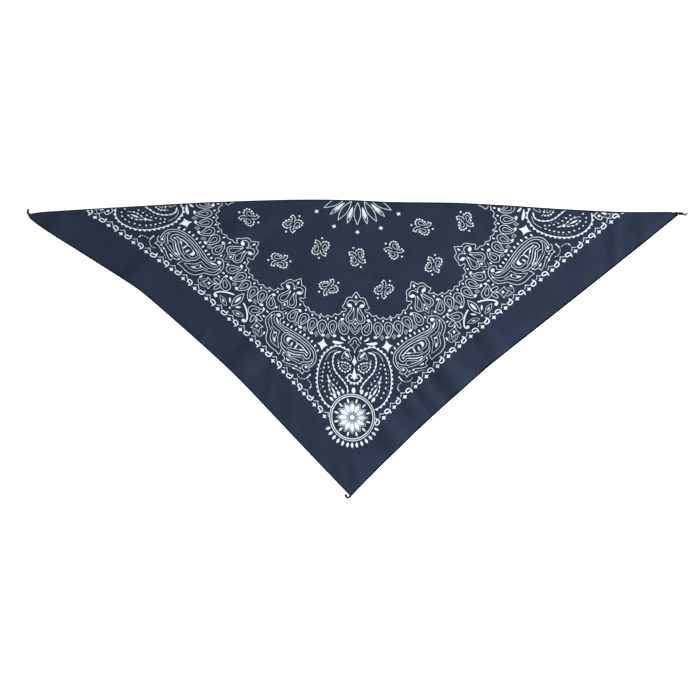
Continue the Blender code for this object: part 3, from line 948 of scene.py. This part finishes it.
def plain_weave_group(name):
    """Threads that pass over and under each other, on a map in metres along the two legs."""
    tree, given, result, add, maths = new_group(name, "Vector", {"Threads": 2600.0}, ["Height"])
    scaled = add("ShaderNodeVectorMath", set_operation="SCALE", i0=given["Vector"], Scale=given["Threads"])
    split = add("ShaderNodeSeparateXYZ", Vector=scaled).outputs
    over = maths("PINGPONG", maths("ADD", *(maths("FLOOR", split[axis]) for axis in "XY")), 1.0)
    warp, weft = (maths("SINE", maths("MULTIPLY", maths("FRACT", split[axis]), math.pi)) for axis in "XY")
    height = add(
        "ShaderNodeMix", Factor=over, i2=maths("MULTIPLY", warp, maths("POWER", weft, 0.5)),
        i3=maths("MULTIPLY", weft, maths("POWER", warp, 0.5)),
    )
    connect(tree, result, Height=height)
    return tree


def uneven_group(name):
    """Uneven threads: long faint streaks along both directions of the weave, and broad cloudiness."""
    tree, given, result, add, maths = new_group(
        name, "Vector", {"Length": 60.0, "Fineness": 900.0, "Clouds": 28.0}, ["Streaks", "Clouds"]
    )
    streaks = []
    for first, second in (("Length", "Fineness"), ("Fineness", "Length")):
        scale = add("ShaderNodeCombineXYZ", X=given[first], Y=given[second])
        stretched = add("ShaderNodeVectorMath", set_operation="MULTIPLY", i0=given["Vector"], i1=scale)
        streaks.append(add("ShaderNodeTexNoise", Vector=stretched, Scale=1.0, Detail=2.0))
    clouds = add("ShaderNodeTexNoise", Vector=given["Vector"], Scale=given["Clouds"], Detail=3.0)
    connect(tree, result, Streaks=maths("MULTIPLY", maths("ADD", *streaks), 0.5), Clouds=clouds)
    return tree


def pucker_group(name):
    """Little slanted gathers that the overlocking pulls into the cloth along one edge."""
    tree, given, result, add, maths = new_group(
        name, None, {"Along": 0.0, "Inward": 0.0, "Spacing": 0.0038, "Reach": 0.008}, ["Height"]
    )
    place = add("ShaderNodeCombineXYZ", X=given["Along"], Y=given["Inward"])
    wobble = add("ShaderNodeTexNoise", Vector=place, Scale=90.0, Detail=1.0)
    shifted = maths("MULTIPLY_ADD", wobble, 0.010, given["Along"])
    slanted = maths("MULTIPLY_ADD", given["Inward"], 0.8, shifted)
    turns = maths("MULTIPLY", maths("DIVIDE", slanted, given["Spacing"]), math.tau)
    wave = maths("MULTIPLY_ADD", maths("SINE", turns), 0.5, 0.5)
    share = maths("DIVIDE", given["Inward"], given["Reach"])
    fade = add(
        "ShaderNodeMapRange", set_interpolation_type="SMOOTHERSTEP", Value=share, To_Min=1.0, To_Max=0.0
    )
    connect(tree, result, Height=maths("MULTIPLY", wave, fade))
    return tree


def placed_group(tree, name, make, **inputs):
    """Places a shared node group, which is made the first time."""
    group = bpy.data.node_groups.get(name) or make(name)
    return wired(tree, "ShaderNodeGroup", set_node_tree=group, **inputs)


def blank_material(name, roughness, specular=0.1):
    """A new material, its node tree and its shader."""
    made = bpy.data.materials.new(name)
    made.use_nodes = True
    shader = made.node_tree.nodes["Principled BSDF"]
    connect(made.node_tree, shader, Roughness=roughness, Specular_IOR_Level=specular)
    return made, made.node_tree, shader


def colour_between(tree, share, first, second, low, high):
    """A colour ramp from the first colour, where share is low, to the second, where it is high."""
    ramp = wired(tree, "ShaderNodeValToRGB", Fac=share)
    for stop, colour, position in zip(ramp.color_ramp.elements, (first, second), (low, high)):
        stop.color = (*colour, 1.0)
        stop.position = position
    return ramp


def woven(tree, threads_per_metre, **sizes):
    """The map of the threads, the height of the weave on it and how uneven its threads are."""
    threads = wired(tree, "ShaderNodeUVMap", set_uv_map="Threads")
    weave = placed_group(tree, "Plain weave", plain_weave_group, Vector=threads, Threads=threads_per_metre)
    uneven = placed_group(tree, "Uneven threads", uneven_group, Vector=threads, **sizes)
    return threads, weave, uneven.outputs


def cotton(settings):
    """Navy cotton: a plain weave with uneven threads and puckers along the edges."""
    made, tree, shader = blank_material("Navy cotton", 0.86)
    add, maths = partial(wired, tree), partial(maths_node, tree)
    threads, weave, uneven = woven(tree, settings.threads)
    share = maths("MULTIPLY_ADD", uneven["Streaks"], 0.9, -0.48)
    share = maths("MULTIPLY_ADD", uneven["Clouds"], 0.7, share)
    # The weave's height makes the crowns of the threads paler and the gaps between them darker: painted
    # highlight and painted shade
    share = maths("MULTIPLY_ADD", weave, 0.22, share)
    colour = colour_between(tree, share, settings.colour, settings.thin_dye_and_highlight_colour, 0.25, 0.75)

    split = add("ShaderNodeSeparateXYZ", Vector=threads).outputs
    right_in, left_in = split["X"], split["Y"]
    neck_in = maths("MULTIPLY", maths("SUBTRACT", LEG, maths("ADD", right_in, left_in)), 1 / math.sqrt(2))
    neck_along = maths("SUBTRACT", right_in, left_in)
    pucker = partial(placed_group, tree, "Edge puckers", pucker_group)
    by_legs = maths("ADD", pucker(Along=right_in, Inward=left_in), pucker(Along=left_in, Inward=right_in))
    by_neck = pucker(Along=neck_along, Inward=neck_in, Spacing=0.0052, Reach=0.005)
    pulled = add("ShaderNodeBump", Height=maths("ADD", by_legs, by_neck), Strength=0.8, Distance=0.0005)
    raised = add("ShaderNodeBump", Height=weave, Strength=0.5, Distance=0.00012, Normal=pulled)
    slubs = add("ShaderNodeBump", Height=uneven["Streaks"], Strength=0.5, Distance=0.0003, Normal=raised)
    connect(
        tree, shader, Base_Color=colour, Roughness=maths("MULTIPLY_ADD", uneven["Streaks"], 0.12, 0.80),
        Normal=slubs, Sheen_Weight=0.03, Sheen_Roughness=0.5, Sheen_Tint=(0.75, 0.82, 1.0, 1.0),
    )
    return made


def print_ink(settings, threads_per_metre):
    """White ink that sits in the weave, thinner in places."""
    made, tree, shader = blank_material("White ink", 0.8)
    weave, uneven = woven(tree, threads_per_metre, Length=150.0, Fineness=700.0, Clouds=160.0)[1:]
    share = maths_node(tree, "MULTIPLY_ADD", uneven["Streaks"], 0.5, 0.1)
    share = maths_node(tree, "MULTIPLY_ADD", uneven["Clouds"], 0.8, share)
    colour = colour_between(tree, share, settings.thin_colour, settings.colour, 0.45, 0.75)
    raised = wired(tree, "ShaderNodeBump", Height=weave, Strength=0.35, Distance=0.0001)
    connect(tree, shader, Base_Color=colour, Normal=raised)
    return made


def sewing_thread(settings):
    """Nearly black thread, with a fine twist and a little lint."""
    made, tree, shader = blank_material("Dark sewing thread", 0.62, 0.03)
    place = wired(tree, "ShaderNodeTexCoord").outputs["Object"]
    lint = wired(tree, "ShaderNodeTexNoise", Vector=place, Scale=1400.0, Detail=2.0)
    paler = [2.0 * part for part in settings.colour]
    colour = colour_between(tree, lint, settings.colour, paler, 0.40, 0.75)
    twist = wired(tree, "ShaderNodeBump", Height=lint, Strength=0.4, Distance=0.0001)
    connect(tree, shader, Base_Color=colour, Normal=twist)
    return made


# ------------------------------------------------------------------ cloth and ink


def new_piece(name, mesh, material=None):
    """An object in the scene from a mesh, with its material where it has one."""
    made = bpy.data.objects.new(name, mesh)
    bpy.context.scene.collection.objects.link(made)
    if material is not None:
        mesh.materials.append(material)
    return made


def add_map(mesh, name, places):
    """A UV map with one place for each vertex."""
    corners = np.zeros(len(mesh.loops), np.int32)
    mesh.loops.foreach_get("vertex_index", corners)
    mesh.uv_layers.new(name=name).data.foreach_set("uv", places[corners].astype(np.float32).ravel())


CLOTH_STEPS = 240  # squares of the net along a leg
CLOTH_INSET = 0.0008  # the cloth's edge lies inside the overlocking
MAP_GAP = 0.006  # between the cloth's two sides on its OFBake map


def cloth_mesh(thickness):
    """The cloth as a thin shell over the net's triangle, with its threads' map."""
    rows = CLOTH_STEPS
    step = (LEG - (2 + math.sqrt(2)) * CLOTH_INSET) / rows
    i, j = np.meshgrid(np.arange(rows + 1), np.arange(rows + 1), indexing="ij")
    inside = i + j <= rows
    number = np.full(i.shape, -1)
    number[inside] = np.arange(inside.sum())
    s, t = CLOTH_INSET + i[inside] * step, CLOTH_INSET + j[inside] * step
    x, y = laid(s, t)
    z = lift(s, t)
    count = len(x)

    a, b, c, d = number[:-1, :-1], number[1:, :-1], number[:-1, 1:], number[1:, 1:]
    whole = (i + j < rows)[:-1, :-1]
    split = (i + j < rows - 1)[:-1, :-1]
    top = np.concatenate([
        np.stack([a[whole], c[whole], b[whole]], 1), np.stack([b[split], c[split], d[split]], 1)
    ])
    slope = number[np.arange(rows, 0, -1), np.arange(rows)]
    rim = np.concatenate([number[:rows, 0], slope, number[0, rows:0:-1]])
    after = np.roll(rim, -1)
    sides = np.stack([after, rim, rim + count, after + count], 1)
    mesh = bpy.data.meshes.new("cloth")
    places = [*np.stack([x, y, z], 1).tolist(), *np.stack([x, y, z + thickness], 1).tolist()]
    mesh.from_pydata(places, [], [*top[:, ::-1].tolist(), *(top + count).tolist(), *sides.tolist()])
    threads = np.stack([t, s], 1)
    add_map(mesh, "Threads", np.concatenate([threads, threads]))
    map_size = LEG + MAP_GAP
    add_map(mesh, "OFBake", np.concatenate([map_size - threads, threads]) / map_size)
    mesh.shade_smooth()
    mesh.set_sharp_from_angle(angle=math.radians(60))
    return mesh


# Flat ink, in millimetres
INK_LEVELS, INK_LEVEL = 8, 0.003  # marks that cross lie on these levels, so far apart
LONGEST_INK = 3.2  # longer edges are cut in two, so that the ink bends with the cloth
SMALLEST_INK = 1e-7  # smaller faces are left out
CLEAR_OF_NECK = 1.4  # the print stops where the neck edge's stitches begin
PRINT_RIGHT, PRINT_LEAN = 1.0, 0.0060  # how far the print's middle line is from the cloth's, and its drift
PRINT_WIDE, PRINT_TALL = 0.985, 1.0145  # how much the print is stretched
INK_END = 0.0012  # no ink lies nearer to the neck edge than this, in metres


def headings(curve, closed=False):
    """The ways ahead and to the left at each place on a curve."""
    if closed:
        ahead = np.roll(curve, -1, axis=0) - np.roll(curve, 1, axis=0)
    else:
        ahead = np.gradient(curve, axis=0)
    length = np.linalg.norm(ahead, axis=1)
    length[length == 0] = 1.0
    ahead = ahead / length[:, None]
    return ahead, np.stack([-ahead[:, 1], ahead[:, 0]], 1)


def ribbon(curve, width, closed):
    """The corners and faces of a line of even width, with round ends."""
    ahead, left = headings(curve, closed)
    half, count = width / 2, len(curve)
    places = [*(curve + half * left), *(curve - half * left)]
    faces = []
    for i in range(count if closed else count - 1):
        j = (i + 1) % count
        faces.append((i, i + count, j + count, j))
    if not closed:
        for end, way in ((0, -1), (count - 1, 1)):
            start = len(places)
            for angle in np.radians((45, 90, 135)):
                out = math.cos(angle) * left[end] + way * math.sin(angle) * ahead[end]
                places.append(curve[end] + half * out)
            cap = (end, start, start + 1, start + 2, end + count)
            faces.append(cap if way < 0 else cap[::-1])
    return places, faces


# Where the cloth lies a little stretched: marks near x and y, within about wide and tall, are pulled to
# the right and up, all in millimetres.
Pull = namedtuple("Pull", "x y wide tall right up")
PULLS = (
    Pull(-205, -25, 105, 75, -4.5, 0), Pull(-35, -25, 60, 30, -1.6, 0), Pull(240, -28, 45, 24, 1.8, 0),
    Pull(-312, -22, 18, 16, -2.4, -0.5), Pull(312, -18, 18, 16, 1.6, 0.8), Pull(-245, -95, 30, 32, 0, -3),
    Pull(130, -60, 50, 45, 0, -1), Pull(-55, -280, 30, 50, 0, 2.3), Pull(-85, -205, 34, 50, 0, 2),
    Pull(-112, -120, 34, 50, 0, 2.2),
)
# The print's middle line sways from side to side, and the print is wider and narrower by turns, over
# these lengths in millimetres; the whole of it is turned a little
SWAY, SWAY_HALF_LENGTH = 0.7, 250
WIDENING, WIDEST_AT, WIDENING_LENGTH = 0.0048, -90, 443
PRINT_TILT = 0.0034


def wandered(x, y):
    """The print is a little out of true: where its marks really are, in millimetres."""
    wider = 1 + WIDENING * np.cos(math.tau * (y - WIDEST_AT) / WIDENING_LENGTH)
    right, up = wider * x + SWAY * np.sin(math.pi * y / SWAY_HALF_LENGTH), y - PRINT_TILT * x
    for pull in PULLS:
        share = np.exp(-(((x - pull.x) / pull.wide) ** 2) - ((y - pull.y) / pull.tall) ** 2)
        right, up = right + pull.right * share, up + pull.up * share
    return right, up


def flat_ink(ink):
    """The corners and the faces of a drawing's marks, all facing up, with crossing marks at levels."""
    marks = [ribbon(*line) for line in ink.lines]
    marks += [(list(shape), tessellate_polygon([[(x, y, 0.0) for x, y in shape]])) for shape in ink.solids]
    places, faces = [], []
    for number, (corners, parts) in enumerate(marks):
        start = len(places)
        level = INK_LEVEL * (number % INK_LEVELS)
        places.extend((float(x), float(y), level) for x, y in corners)
        for part in parts:
            x, y = np.array([corners[k] for k in part]).T
            area = np.sum(x * np.roll(y, -1) - np.roll(x, -1) * y)
            if abs(area) >= SMALLEST_INK:
                faces.append(tuple(start + int(k) for k in (part if area > 0 else part[::-1])))
    return places, faces


def print_mesh(name, ink, height, thickness):
    """Cuts a flat drawing off at the neck edge and carries it onto the laid cloth."""
    places, faces = flat_ink(ink)
    mesh = bpy.data.meshes.new(name)
    mesh.from_pydata(places, [], faces)
    mesh.validate()
    work = bmesh.new()
    work.from_mesh(mesh)
    for _ in range(3):
        long = [edge for edge in work.edges if edge.calc_length() > LONGEST_INK]
        if long:
            bmesh.ops.subdivide_edges(work, edges=long, cuts=1)
    bmesh.ops.triangulate(work, faces=work.faces)
    bmesh.ops.bisect_plane(
        work, geom=[*work.verts, *work.edges, *work.faces], plane_no=(0, 1, 0), clear_outer=True,
        plane_co=(0, -1000 * CUT_PAST_CENTRE - CLEAR_OF_NECK, 0),
    )
    bmesh.ops.delete(work, geom=[v for v in work.verts if not v.link_faces], context="VERTS")
    work.to_mesh(mesh)
    work.free()
    flat = np.zeros(3 * len(mesh.vertices))
    mesh.vertices.foreach_get("co", flat)
    x, y, level = flat.reshape(-1, 3).T
    x, y = wandered(x, y)
    right = (PRINT_RIGHT - PRINT_LEAN * y + PRINT_WIDE * x) / 1000
    up = SQUARE / math.sqrt(2) + PRINT_TALL * y / 1000
    s, t = (up - right) / math.sqrt(2), (up + right) / math.sqrt(2)
    over = np.maximum(s + t - (LEG - INK_END), 0) / 2
    s, t = s - over, t - over
    z = lift(s, t) + thickness + height + level / 1000
    mesh.vertices.foreach_set("co", np.stack([*laid(s, t), z], 1).ravel())
    threads = np.stack([t, s], 1)
    add_map(mesh, "Threads", threads)
    add_map(mesh, "OFBake", threads / LEG)
    mesh.shade_smooth()
    mesh.update()
    return mesh


# ------------------------------------------------------------------ stitches

# The sizes of a row of stitches, and how far its loops lean over and vary, in radians
STITCH_SIZES = {
    "Spacing": 0.00125, "Width": STITCH_WIDTH, "Height": STITCH_HEIGHT, "Thread": 0.00034, "Slant": 0.5,
    "Unevenness": 0.12,
}


def stitch_tree(material):
    """Loops of thread wrapped round a path at an even spacing, over a soft core."""
    tree = bpy.data.node_groups.new("Wrapped stitches", "GeometryNodeTree")
    tree.interface.new_socket(name="Geometry", in_out="INPUT", socket_type="NodeSocketGeometry")
    for label, default in STITCH_SIZES.items():
        socket = tree.interface.new_socket(name=label, in_out="INPUT", socket_type="NodeSocketFloat")
        socket.default_value = default
    tree.interface.new_socket(name="Geometry", in_out="OUTPUT", socket_type="NodeSocketGeometry")
    given, result = tree.nodes.new("NodeGroupInput").outputs, tree.nodes.new("NodeGroupOutput")
    add, maths = partial(wired, tree), partial(maths_node, tree)
    circle = partial(add, "GeometryNodeCurvePrimitiveCircle", set_mode="RADIUS")
    resampled = partial(add, "GeometryNodeResampleCurve", set_mode="LENGTH")

    path = add("GeometryNodeMeshToCurve", Mesh=given["Geometry"])
    spaced = resampled(Curve=path, Length=given["Spacing"])
    ahead = add("GeometryNodeInputTangent")
    facing = add("FunctionNodeAlignRotationToVector", set_axis="X", Vector=ahead)

    # one loop, lying across the path: x is along it, y across it, z up
    ring = circle(Resolution=10, Radius=1.0)
    upright = add("GeometryNodeTransform", Geometry=ring, Rotation=(0.0, math.pi / 2, 0.0))
    half_wide, half_high = (
        maths("MULTIPLY", maths("SUBTRACT", given[name], given["Thread"]), 0.5)
        for name in ("Width", "Height")
    )
    size = add("ShaderNodeCombineXYZ", X=1.0, Y=half_wide, Z=half_high)
    sized = add("GeometryNodeTransform", Geometry=upright, Scale=size)
    strand = circle(Resolution=4, Radius=maths("MULTIPLY", given["Thread"], 0.5))
    loop = add("GeometryNodeCurveToMesh", Curve=sized, Profile_Curve=strand)

    many = add("GeometryNodeInstanceOnPoints", Points=spaced, Instance=loop, Rotation=facing)
    lean = add(
        "FunctionNodeRandomValue", set_data_type="FLOAT", Seed=11,
        i2=maths("SUBTRACT", given["Slant"], given["Unevenness"]),
        i3=maths("ADD", given["Slant"], given["Unevenness"]),
    )
    turn = add("ShaderNodeCombineXYZ", Z=lean.outputs[1])
    slanted = add("GeometryNodeRotateInstances", Instances=many, Rotation=turn)
    fuller = add("FunctionNodeRandomValue", set_data_type="FLOAT", Seed=23, i2=0.93, i3=1.05)
    scaled = add("GeometryNodeScaleInstances", Instances=slanted, Scale=fuller.outputs[1])

    # the core that the loops are pulled round
    core_wide, core_high = (maths("MULTIPLY", half, 0.94) for half in (half_wide, half_high))
    core_size = add("ShaderNodeCombineXYZ", X=core_wide, Y=core_high, Z=1.0)
    core_shape = add("GeometryNodeTransform", Geometry=circle(Resolution=8, Radius=1.0), Scale=core_size)
    upright_path = add("GeometryNodeSetCurveNormal", set_mode="Z_UP", Curve=path)
    coarse = resampled(Curve=upright_path, Length=0.004)
    core = add("GeometryNodeCurveToMesh", Curve=coarse, Profile_Curve=core_shape, Fill_Caps=True)

    joined = add("GeometryNodeJoinGeometry", i0=core)
    connect(tree, joined, i0=scaled)
    smoothed = add("GeometryNodeSetShadeSmooth", Geometry=joined)
    real = add("GeometryNodeRealizeInstances", Geometry=smoothed)
    finished = add("GeometryNodeSetMaterial", Geometry=real, Material=material)
    connect(tree, result, i0=finished)
    return tree


def stitched(name, path, tree, sizes):
    """Runs the stitch tree along a path and keeps the result as a plain mesh."""
    mesh = bpy.data.meshes.new(name + "_path")
    mesh.from_pydata(path.tolist(), [(i, i + 1) for i in range(len(path) - 1)], [])
    guide = new_piece(name + "_path", mesh)
    made = guide.modifiers.new("Stitches", "NODES")
    made.node_group = tree
    for item in tree.interface.items_tree:
        if item.in_out == "INPUT" and item.name in sizes:
            made[item.identifier] = sizes[item.name]
    bpy.context.view_layer.update()
    ready = guide.evaluated_get(bpy.context.evaluated_depsgraph_get())
    plain = bpy.data.meshes.new_from_object(ready)
    plain.name = name
    bpy.data.objects.remove(guide)
    return new_piece(name, plain)


EDGE_STEP, TAIL_STEP = 0.003, 0.0006  # between the places on a path


def even_points(path, step):
    """Places on a path at an even step."""
    lengths = np.linalg.norm(np.diff(path, axis=0), axis=1)
    along = np.concatenate([[0], np.cumsum(lengths)])
    at = np.linspace(0, along[-1], max(4, round(along[-1] / step)) + 1)
    return np.stack([np.interp(at, along, path[:, i]) for i in range(3)], 1)


def edge_path(s, t, inside):
    """The middle of a row of stitches, half its width in. inside is 1 where the cloth is to its left."""
    outline = np.stack(laid(s, t), 1)
    middle = outline + inside * headings(outline)[1] * STITCH_WIDTH / 2
    return even_points(np.column_stack([middle, lift(s, t) + EDGE_HEIGHT / 2]), EDGE_STEP)


def edge_paths():
    """The rows' paths, with their ends some edge widths apart to keep them clear of each other."""
    fine = 900  # places on a path before they are spaced out
    none = np.zeros(fine)
    down_left = np.linspace(LEG - 2.9 * EDGE_WIDTH, POINT_CUT, fine)
    up_right = np.linspace(0.6 * EDGE_WIDTH, LEG - 0.2 * EDGE_WIDTH, fine)
    from_left = np.linspace(LEG - 2.2 * EDGE_WIDTH, TIP_CUT, fine)
    return {
        "edge_left": edge_path(down_left, none, 1),
        "edge_right": edge_path(none, up_right, 1),
        "edge_neck": edge_path(from_left, LEG - from_left, -1),
    }


# Where each thread tail runs, from the end of a row of stitches: how far right, up and above where it
# would rest on the surface, in millimetres
TAILS = {
    "tail_left": (
        (-0.4, 0.1, 0), (-2.4, 0.6, 0.2), (-4.1, 1.8, 0.5), (-3.2, 3, 0.7), (-1.8, 4.2, 0.6), (-3, 2.4, 1),
        (-2.4, 4, 0.9), (-2.3, 5.3, 0.5), (-3, 6.6, 0.3),
    ),
    "tail_right": (
        (0.2, 0.6, 0.4), (-1.8, 2.2, 1.4), (-4.6, 3.4, 1.6), (-1.6, 3.6, 1.4), (2, 3.1, 0.8),
        (4.8, 2.8, 0.6), (6.4, 3.8, 0.6), (7.2, 2.6, 0.8), (4.6, 1.8, 1), (1, 2.8, 1.2), (0.8, 1.2, 1.2),
        (3.2, 1.4, 1.4), (6.4, 1.9, 1.4), (8.6, 0.6, 0.8), (10.2, 0.6, 0.2), (11.4, 1.6, 0), (12.5, 3, 0),
    ),
    "tail_point": (
        (0.5, -0.7, 0), (-0.8, -2.2, 0.1), (-3.1, -3.5, 0.3), (-5.2, -2.6, 0.3), (-6.4, -0.5, 0),
        (-6.5, 1.6, 0),
    ),
}
TAIL_RADIUS = {"tail_left": 0.00085, "tail_right": 0.0007, "tail_point": 0.00085}


def tail_path(end, stops, radius):
    """The middle of a thread tail, from the end of a row of stitches and never below the surface."""
    places = np.array([end[0], end[1], radius]) + np.array(stops) / 1000
    at = np.linspace(0, len(places) - 1, 12 * len(places))
    i = np.clip(at.astype(int), 0, len(places) - 2)
    curve = between(with_ends(places), i, (at - i)[:, None])
    curve[:, 2] = np.maximum(curve[:, 2], radius)
    return even_points(curve, TAIL_STEP)


# ------------------------------------------------------------------ operators


class BANDANA_OT_cloth(bpy.types.Operator):
    """Makes the printed triangle's cloth"""

    bl_idname = "bandana.cloth"
    bl_label = "Cloth"

    def execute(self, context):
        settings = context.scene.bandana_cloth
        cloth = new_piece("cloth", cloth_mesh(settings.thickness), cotton(settings))
        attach(cloth, "root")
        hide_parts("panel")
        return {"FINISHED"}


class BANDANA_OT_print(bpy.types.Operator):
    """Draws the print and lays it on the cloth, a piece for each kind of motif"""

    bl_idname = "bandana.print"
    bl_label = "Print"

    def execute(self, context):
        settings, cloth = context.scene.bandana_print, context.scene.bandana_cloth
        material = print_ink(settings, cloth.threads)
        for name, drawing in whole_print().items():
            mesh = print_mesh("print_" + name, drawing, settings.height, cloth.thickness)
            piece = new_piece("print_" + name, mesh, material)
            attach(piece, "root")
        return {"FINISHED"}


class BANDANA_OT_edges(bpy.types.Operator):
    """Overlocks the three edges and leaves a thread tail at each corner"""

    bl_idname = "bandana.edges"
    bl_label = "Overlocked edges and tails"

    def execute(self, context):
        settings = context.scene.bandana_thread
        tree = stitch_tree(sewing_thread(settings))
        paths = edge_paths()
        edge_sizes = {"Spacing": settings.pitch, "Thread": settings.thickness}
        ends = {
            "tail_left": paths["edge_neck"][0],
            "tail_right": paths["edge_neck"][-1],
            "tail_point": paths["edge_left"][-1],
        }
        for node, path in paths.items():
            self.keep("stitches_" + node, path, tree, edge_sizes, node)
        for node, stops in TAILS.items():
            radius = TAIL_RADIUS[node]
            sizes = {"Spacing": 0.0009, "Width": 3.8 * radius, "Height": 2.2 * radius, "Thread": 0.0003,
                     "Slant": 0.75}
            self.keep("thread_" + node, tail_path(ends[node], stops, radius), tree, sizes, node)
        return {"FINISHED"}

    def keep(self, name, path, tree, sizes, node):
        piece = stitched(name, path, tree, sizes)
        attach(piece, "root")
        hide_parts(node)


FLOOR_REACH, FLOOR_DROP = 12.0, 0.0004  # half the floor's width, and how far it lies below the cloth
FLOOR_CORNERS = ((-1, -1), (1, -1), (1, 1), (-1, 1))
FLOOR_GLOW = 0.75
CAMERA_HEIGHT, VIEW_WIDTH = 2.2, 0.87933
MIDDLE_RIGHT, MIDDLE_UP = -0.00113, 0.18453  # the middle of the view, from the point of the triangle
# Each light's place, its size and its share of the side light's power
LIGHTS = {
    "side_light": ((3.0, -0.3, 1.0), 1.1, 1.0),
    "front_light": ((0.1, -1.5, 0.8), 0.9, 0.085),
    "top_light": ((0.2, -0.1, 2.2), 2.0, 0.036),
}


class BANDANA_OT_stage(bpy.types.Operator):
    """Adds the floor, the light and the camera"""

    bl_idname = "bandana.stage"
    bl_label = "Floor, light and camera"

    def execute(self, context):
        settings, scene = context.scene.bandana_stage, context.scene
        mesh = bpy.data.meshes.new("floor")
        corners = [(FLOOR_REACH * x, FLOOR_REACH * y, -FLOOR_DROP) for x, y in FLOOR_CORNERS]
        mesh.from_pydata(corners, [], [(0, 1, 2, 3)])
        material, tree, shader = blank_material("Pale floor", 0.9)
        connect(
            tree, shader, Base_Color=(*settings.floor_colour, 1.0), Emission_Color=(1.0, 1.0, 1.0, 1.0),
            Emission_Strength=FLOOR_GLOW,
        )
        floor = new_piece("floor", mesh, material)

        world = bpy.data.worlds.new("Soft light")
        world.use_nodes = True
        background = world.node_tree.nodes["Background"]
        connect(world.node_tree, background, Color=(1.0, 1.0, 1.0, 1.0), Strength=settings.sky_light)
        scene.world = world
        for name, (place, size, share) in LIGHTS.items():
            lamp = bpy.data.lights.new(name, "AREA")
            lamp.size = size
            lamp.energy = share * settings.side_light
            holder = bpy.data.objects.new(name, lamp)
            holder.location = place
            holder.rotation_euler = (-holder.location).to_track_quat("-Z", "Y").to_euler()
            scene.collection.objects.link(holder)

        camera = bpy.data.cameras.new("camera")
        camera.sensor_width = 36.0
        camera.lens = camera.sensor_width * CAMERA_HEIGHT / VIEW_WIDTH
        holder = bpy.data.objects.new("camera", camera)
        holder.location = (SHIFT_X + MIDDLE_RIGHT, SHIFT_Y + MIDDLE_UP, CAMERA_HEIGHT)
        scene.collection.objects.link(holder)
        scene.camera = holder
        scene.view_settings.view_transform = "Standard"
        return {"FINISHED"}


class BANDANA_PT_panel(bpy.types.Panel):
    """Lists the bandana's settings and its steps"""

    bl_idname = "BANDANA_PT_panel"
    bl_label = "Dog bandana"
    bl_space_type = "VIEW_3D"
    bl_region_type = "UI"
    bl_category = "Bandana"

    def draw(self, context):
        for group, kind in SETTINGS.items():
            box = self.layout.box()
            box.label(text=kind.__doc__)
            for name in kind.__annotations__:
                box.prop(getattr(context.scene, group), name)
        for step in STEPS:
            self.layout.operator(step.bl_idname)


SETTINGS = {
    "bandana_cloth": BandanaCloth,
    "bandana_print": BandanaPrint,
    "bandana_thread": BandanaThread,
    "bandana_stage": BandanaStage,
}
STEPS = (BANDANA_OT_cloth, BANDANA_OT_print, BANDANA_OT_edges, BANDANA_OT_stage)


def register():
    for kind in (*SETTINGS.values(), *STEPS, BANDANA_PT_panel):
        bpy.utils.register_class(kind)
    for name, kind in SETTINGS.items():
        setattr(bpy.types.Scene, name, bpy.props.PointerProperty(type=kind))


def unregister():
    for name in SETTINGS:
        delattr(bpy.types.Scene, name)
    for kind in (BANDANA_PT_panel, *reversed(STEPS), *reversed(SETTINGS.values())):
        bpy.utils.unregister_class(kind)


def main():
    register()
    bpy.ops.bandana.cloth()
    bpy.ops.bandana.print()
    bpy.ops.bandana.edges()
    bpy.ops.bandana.stage()


if __name__ == "__main__":
    main()
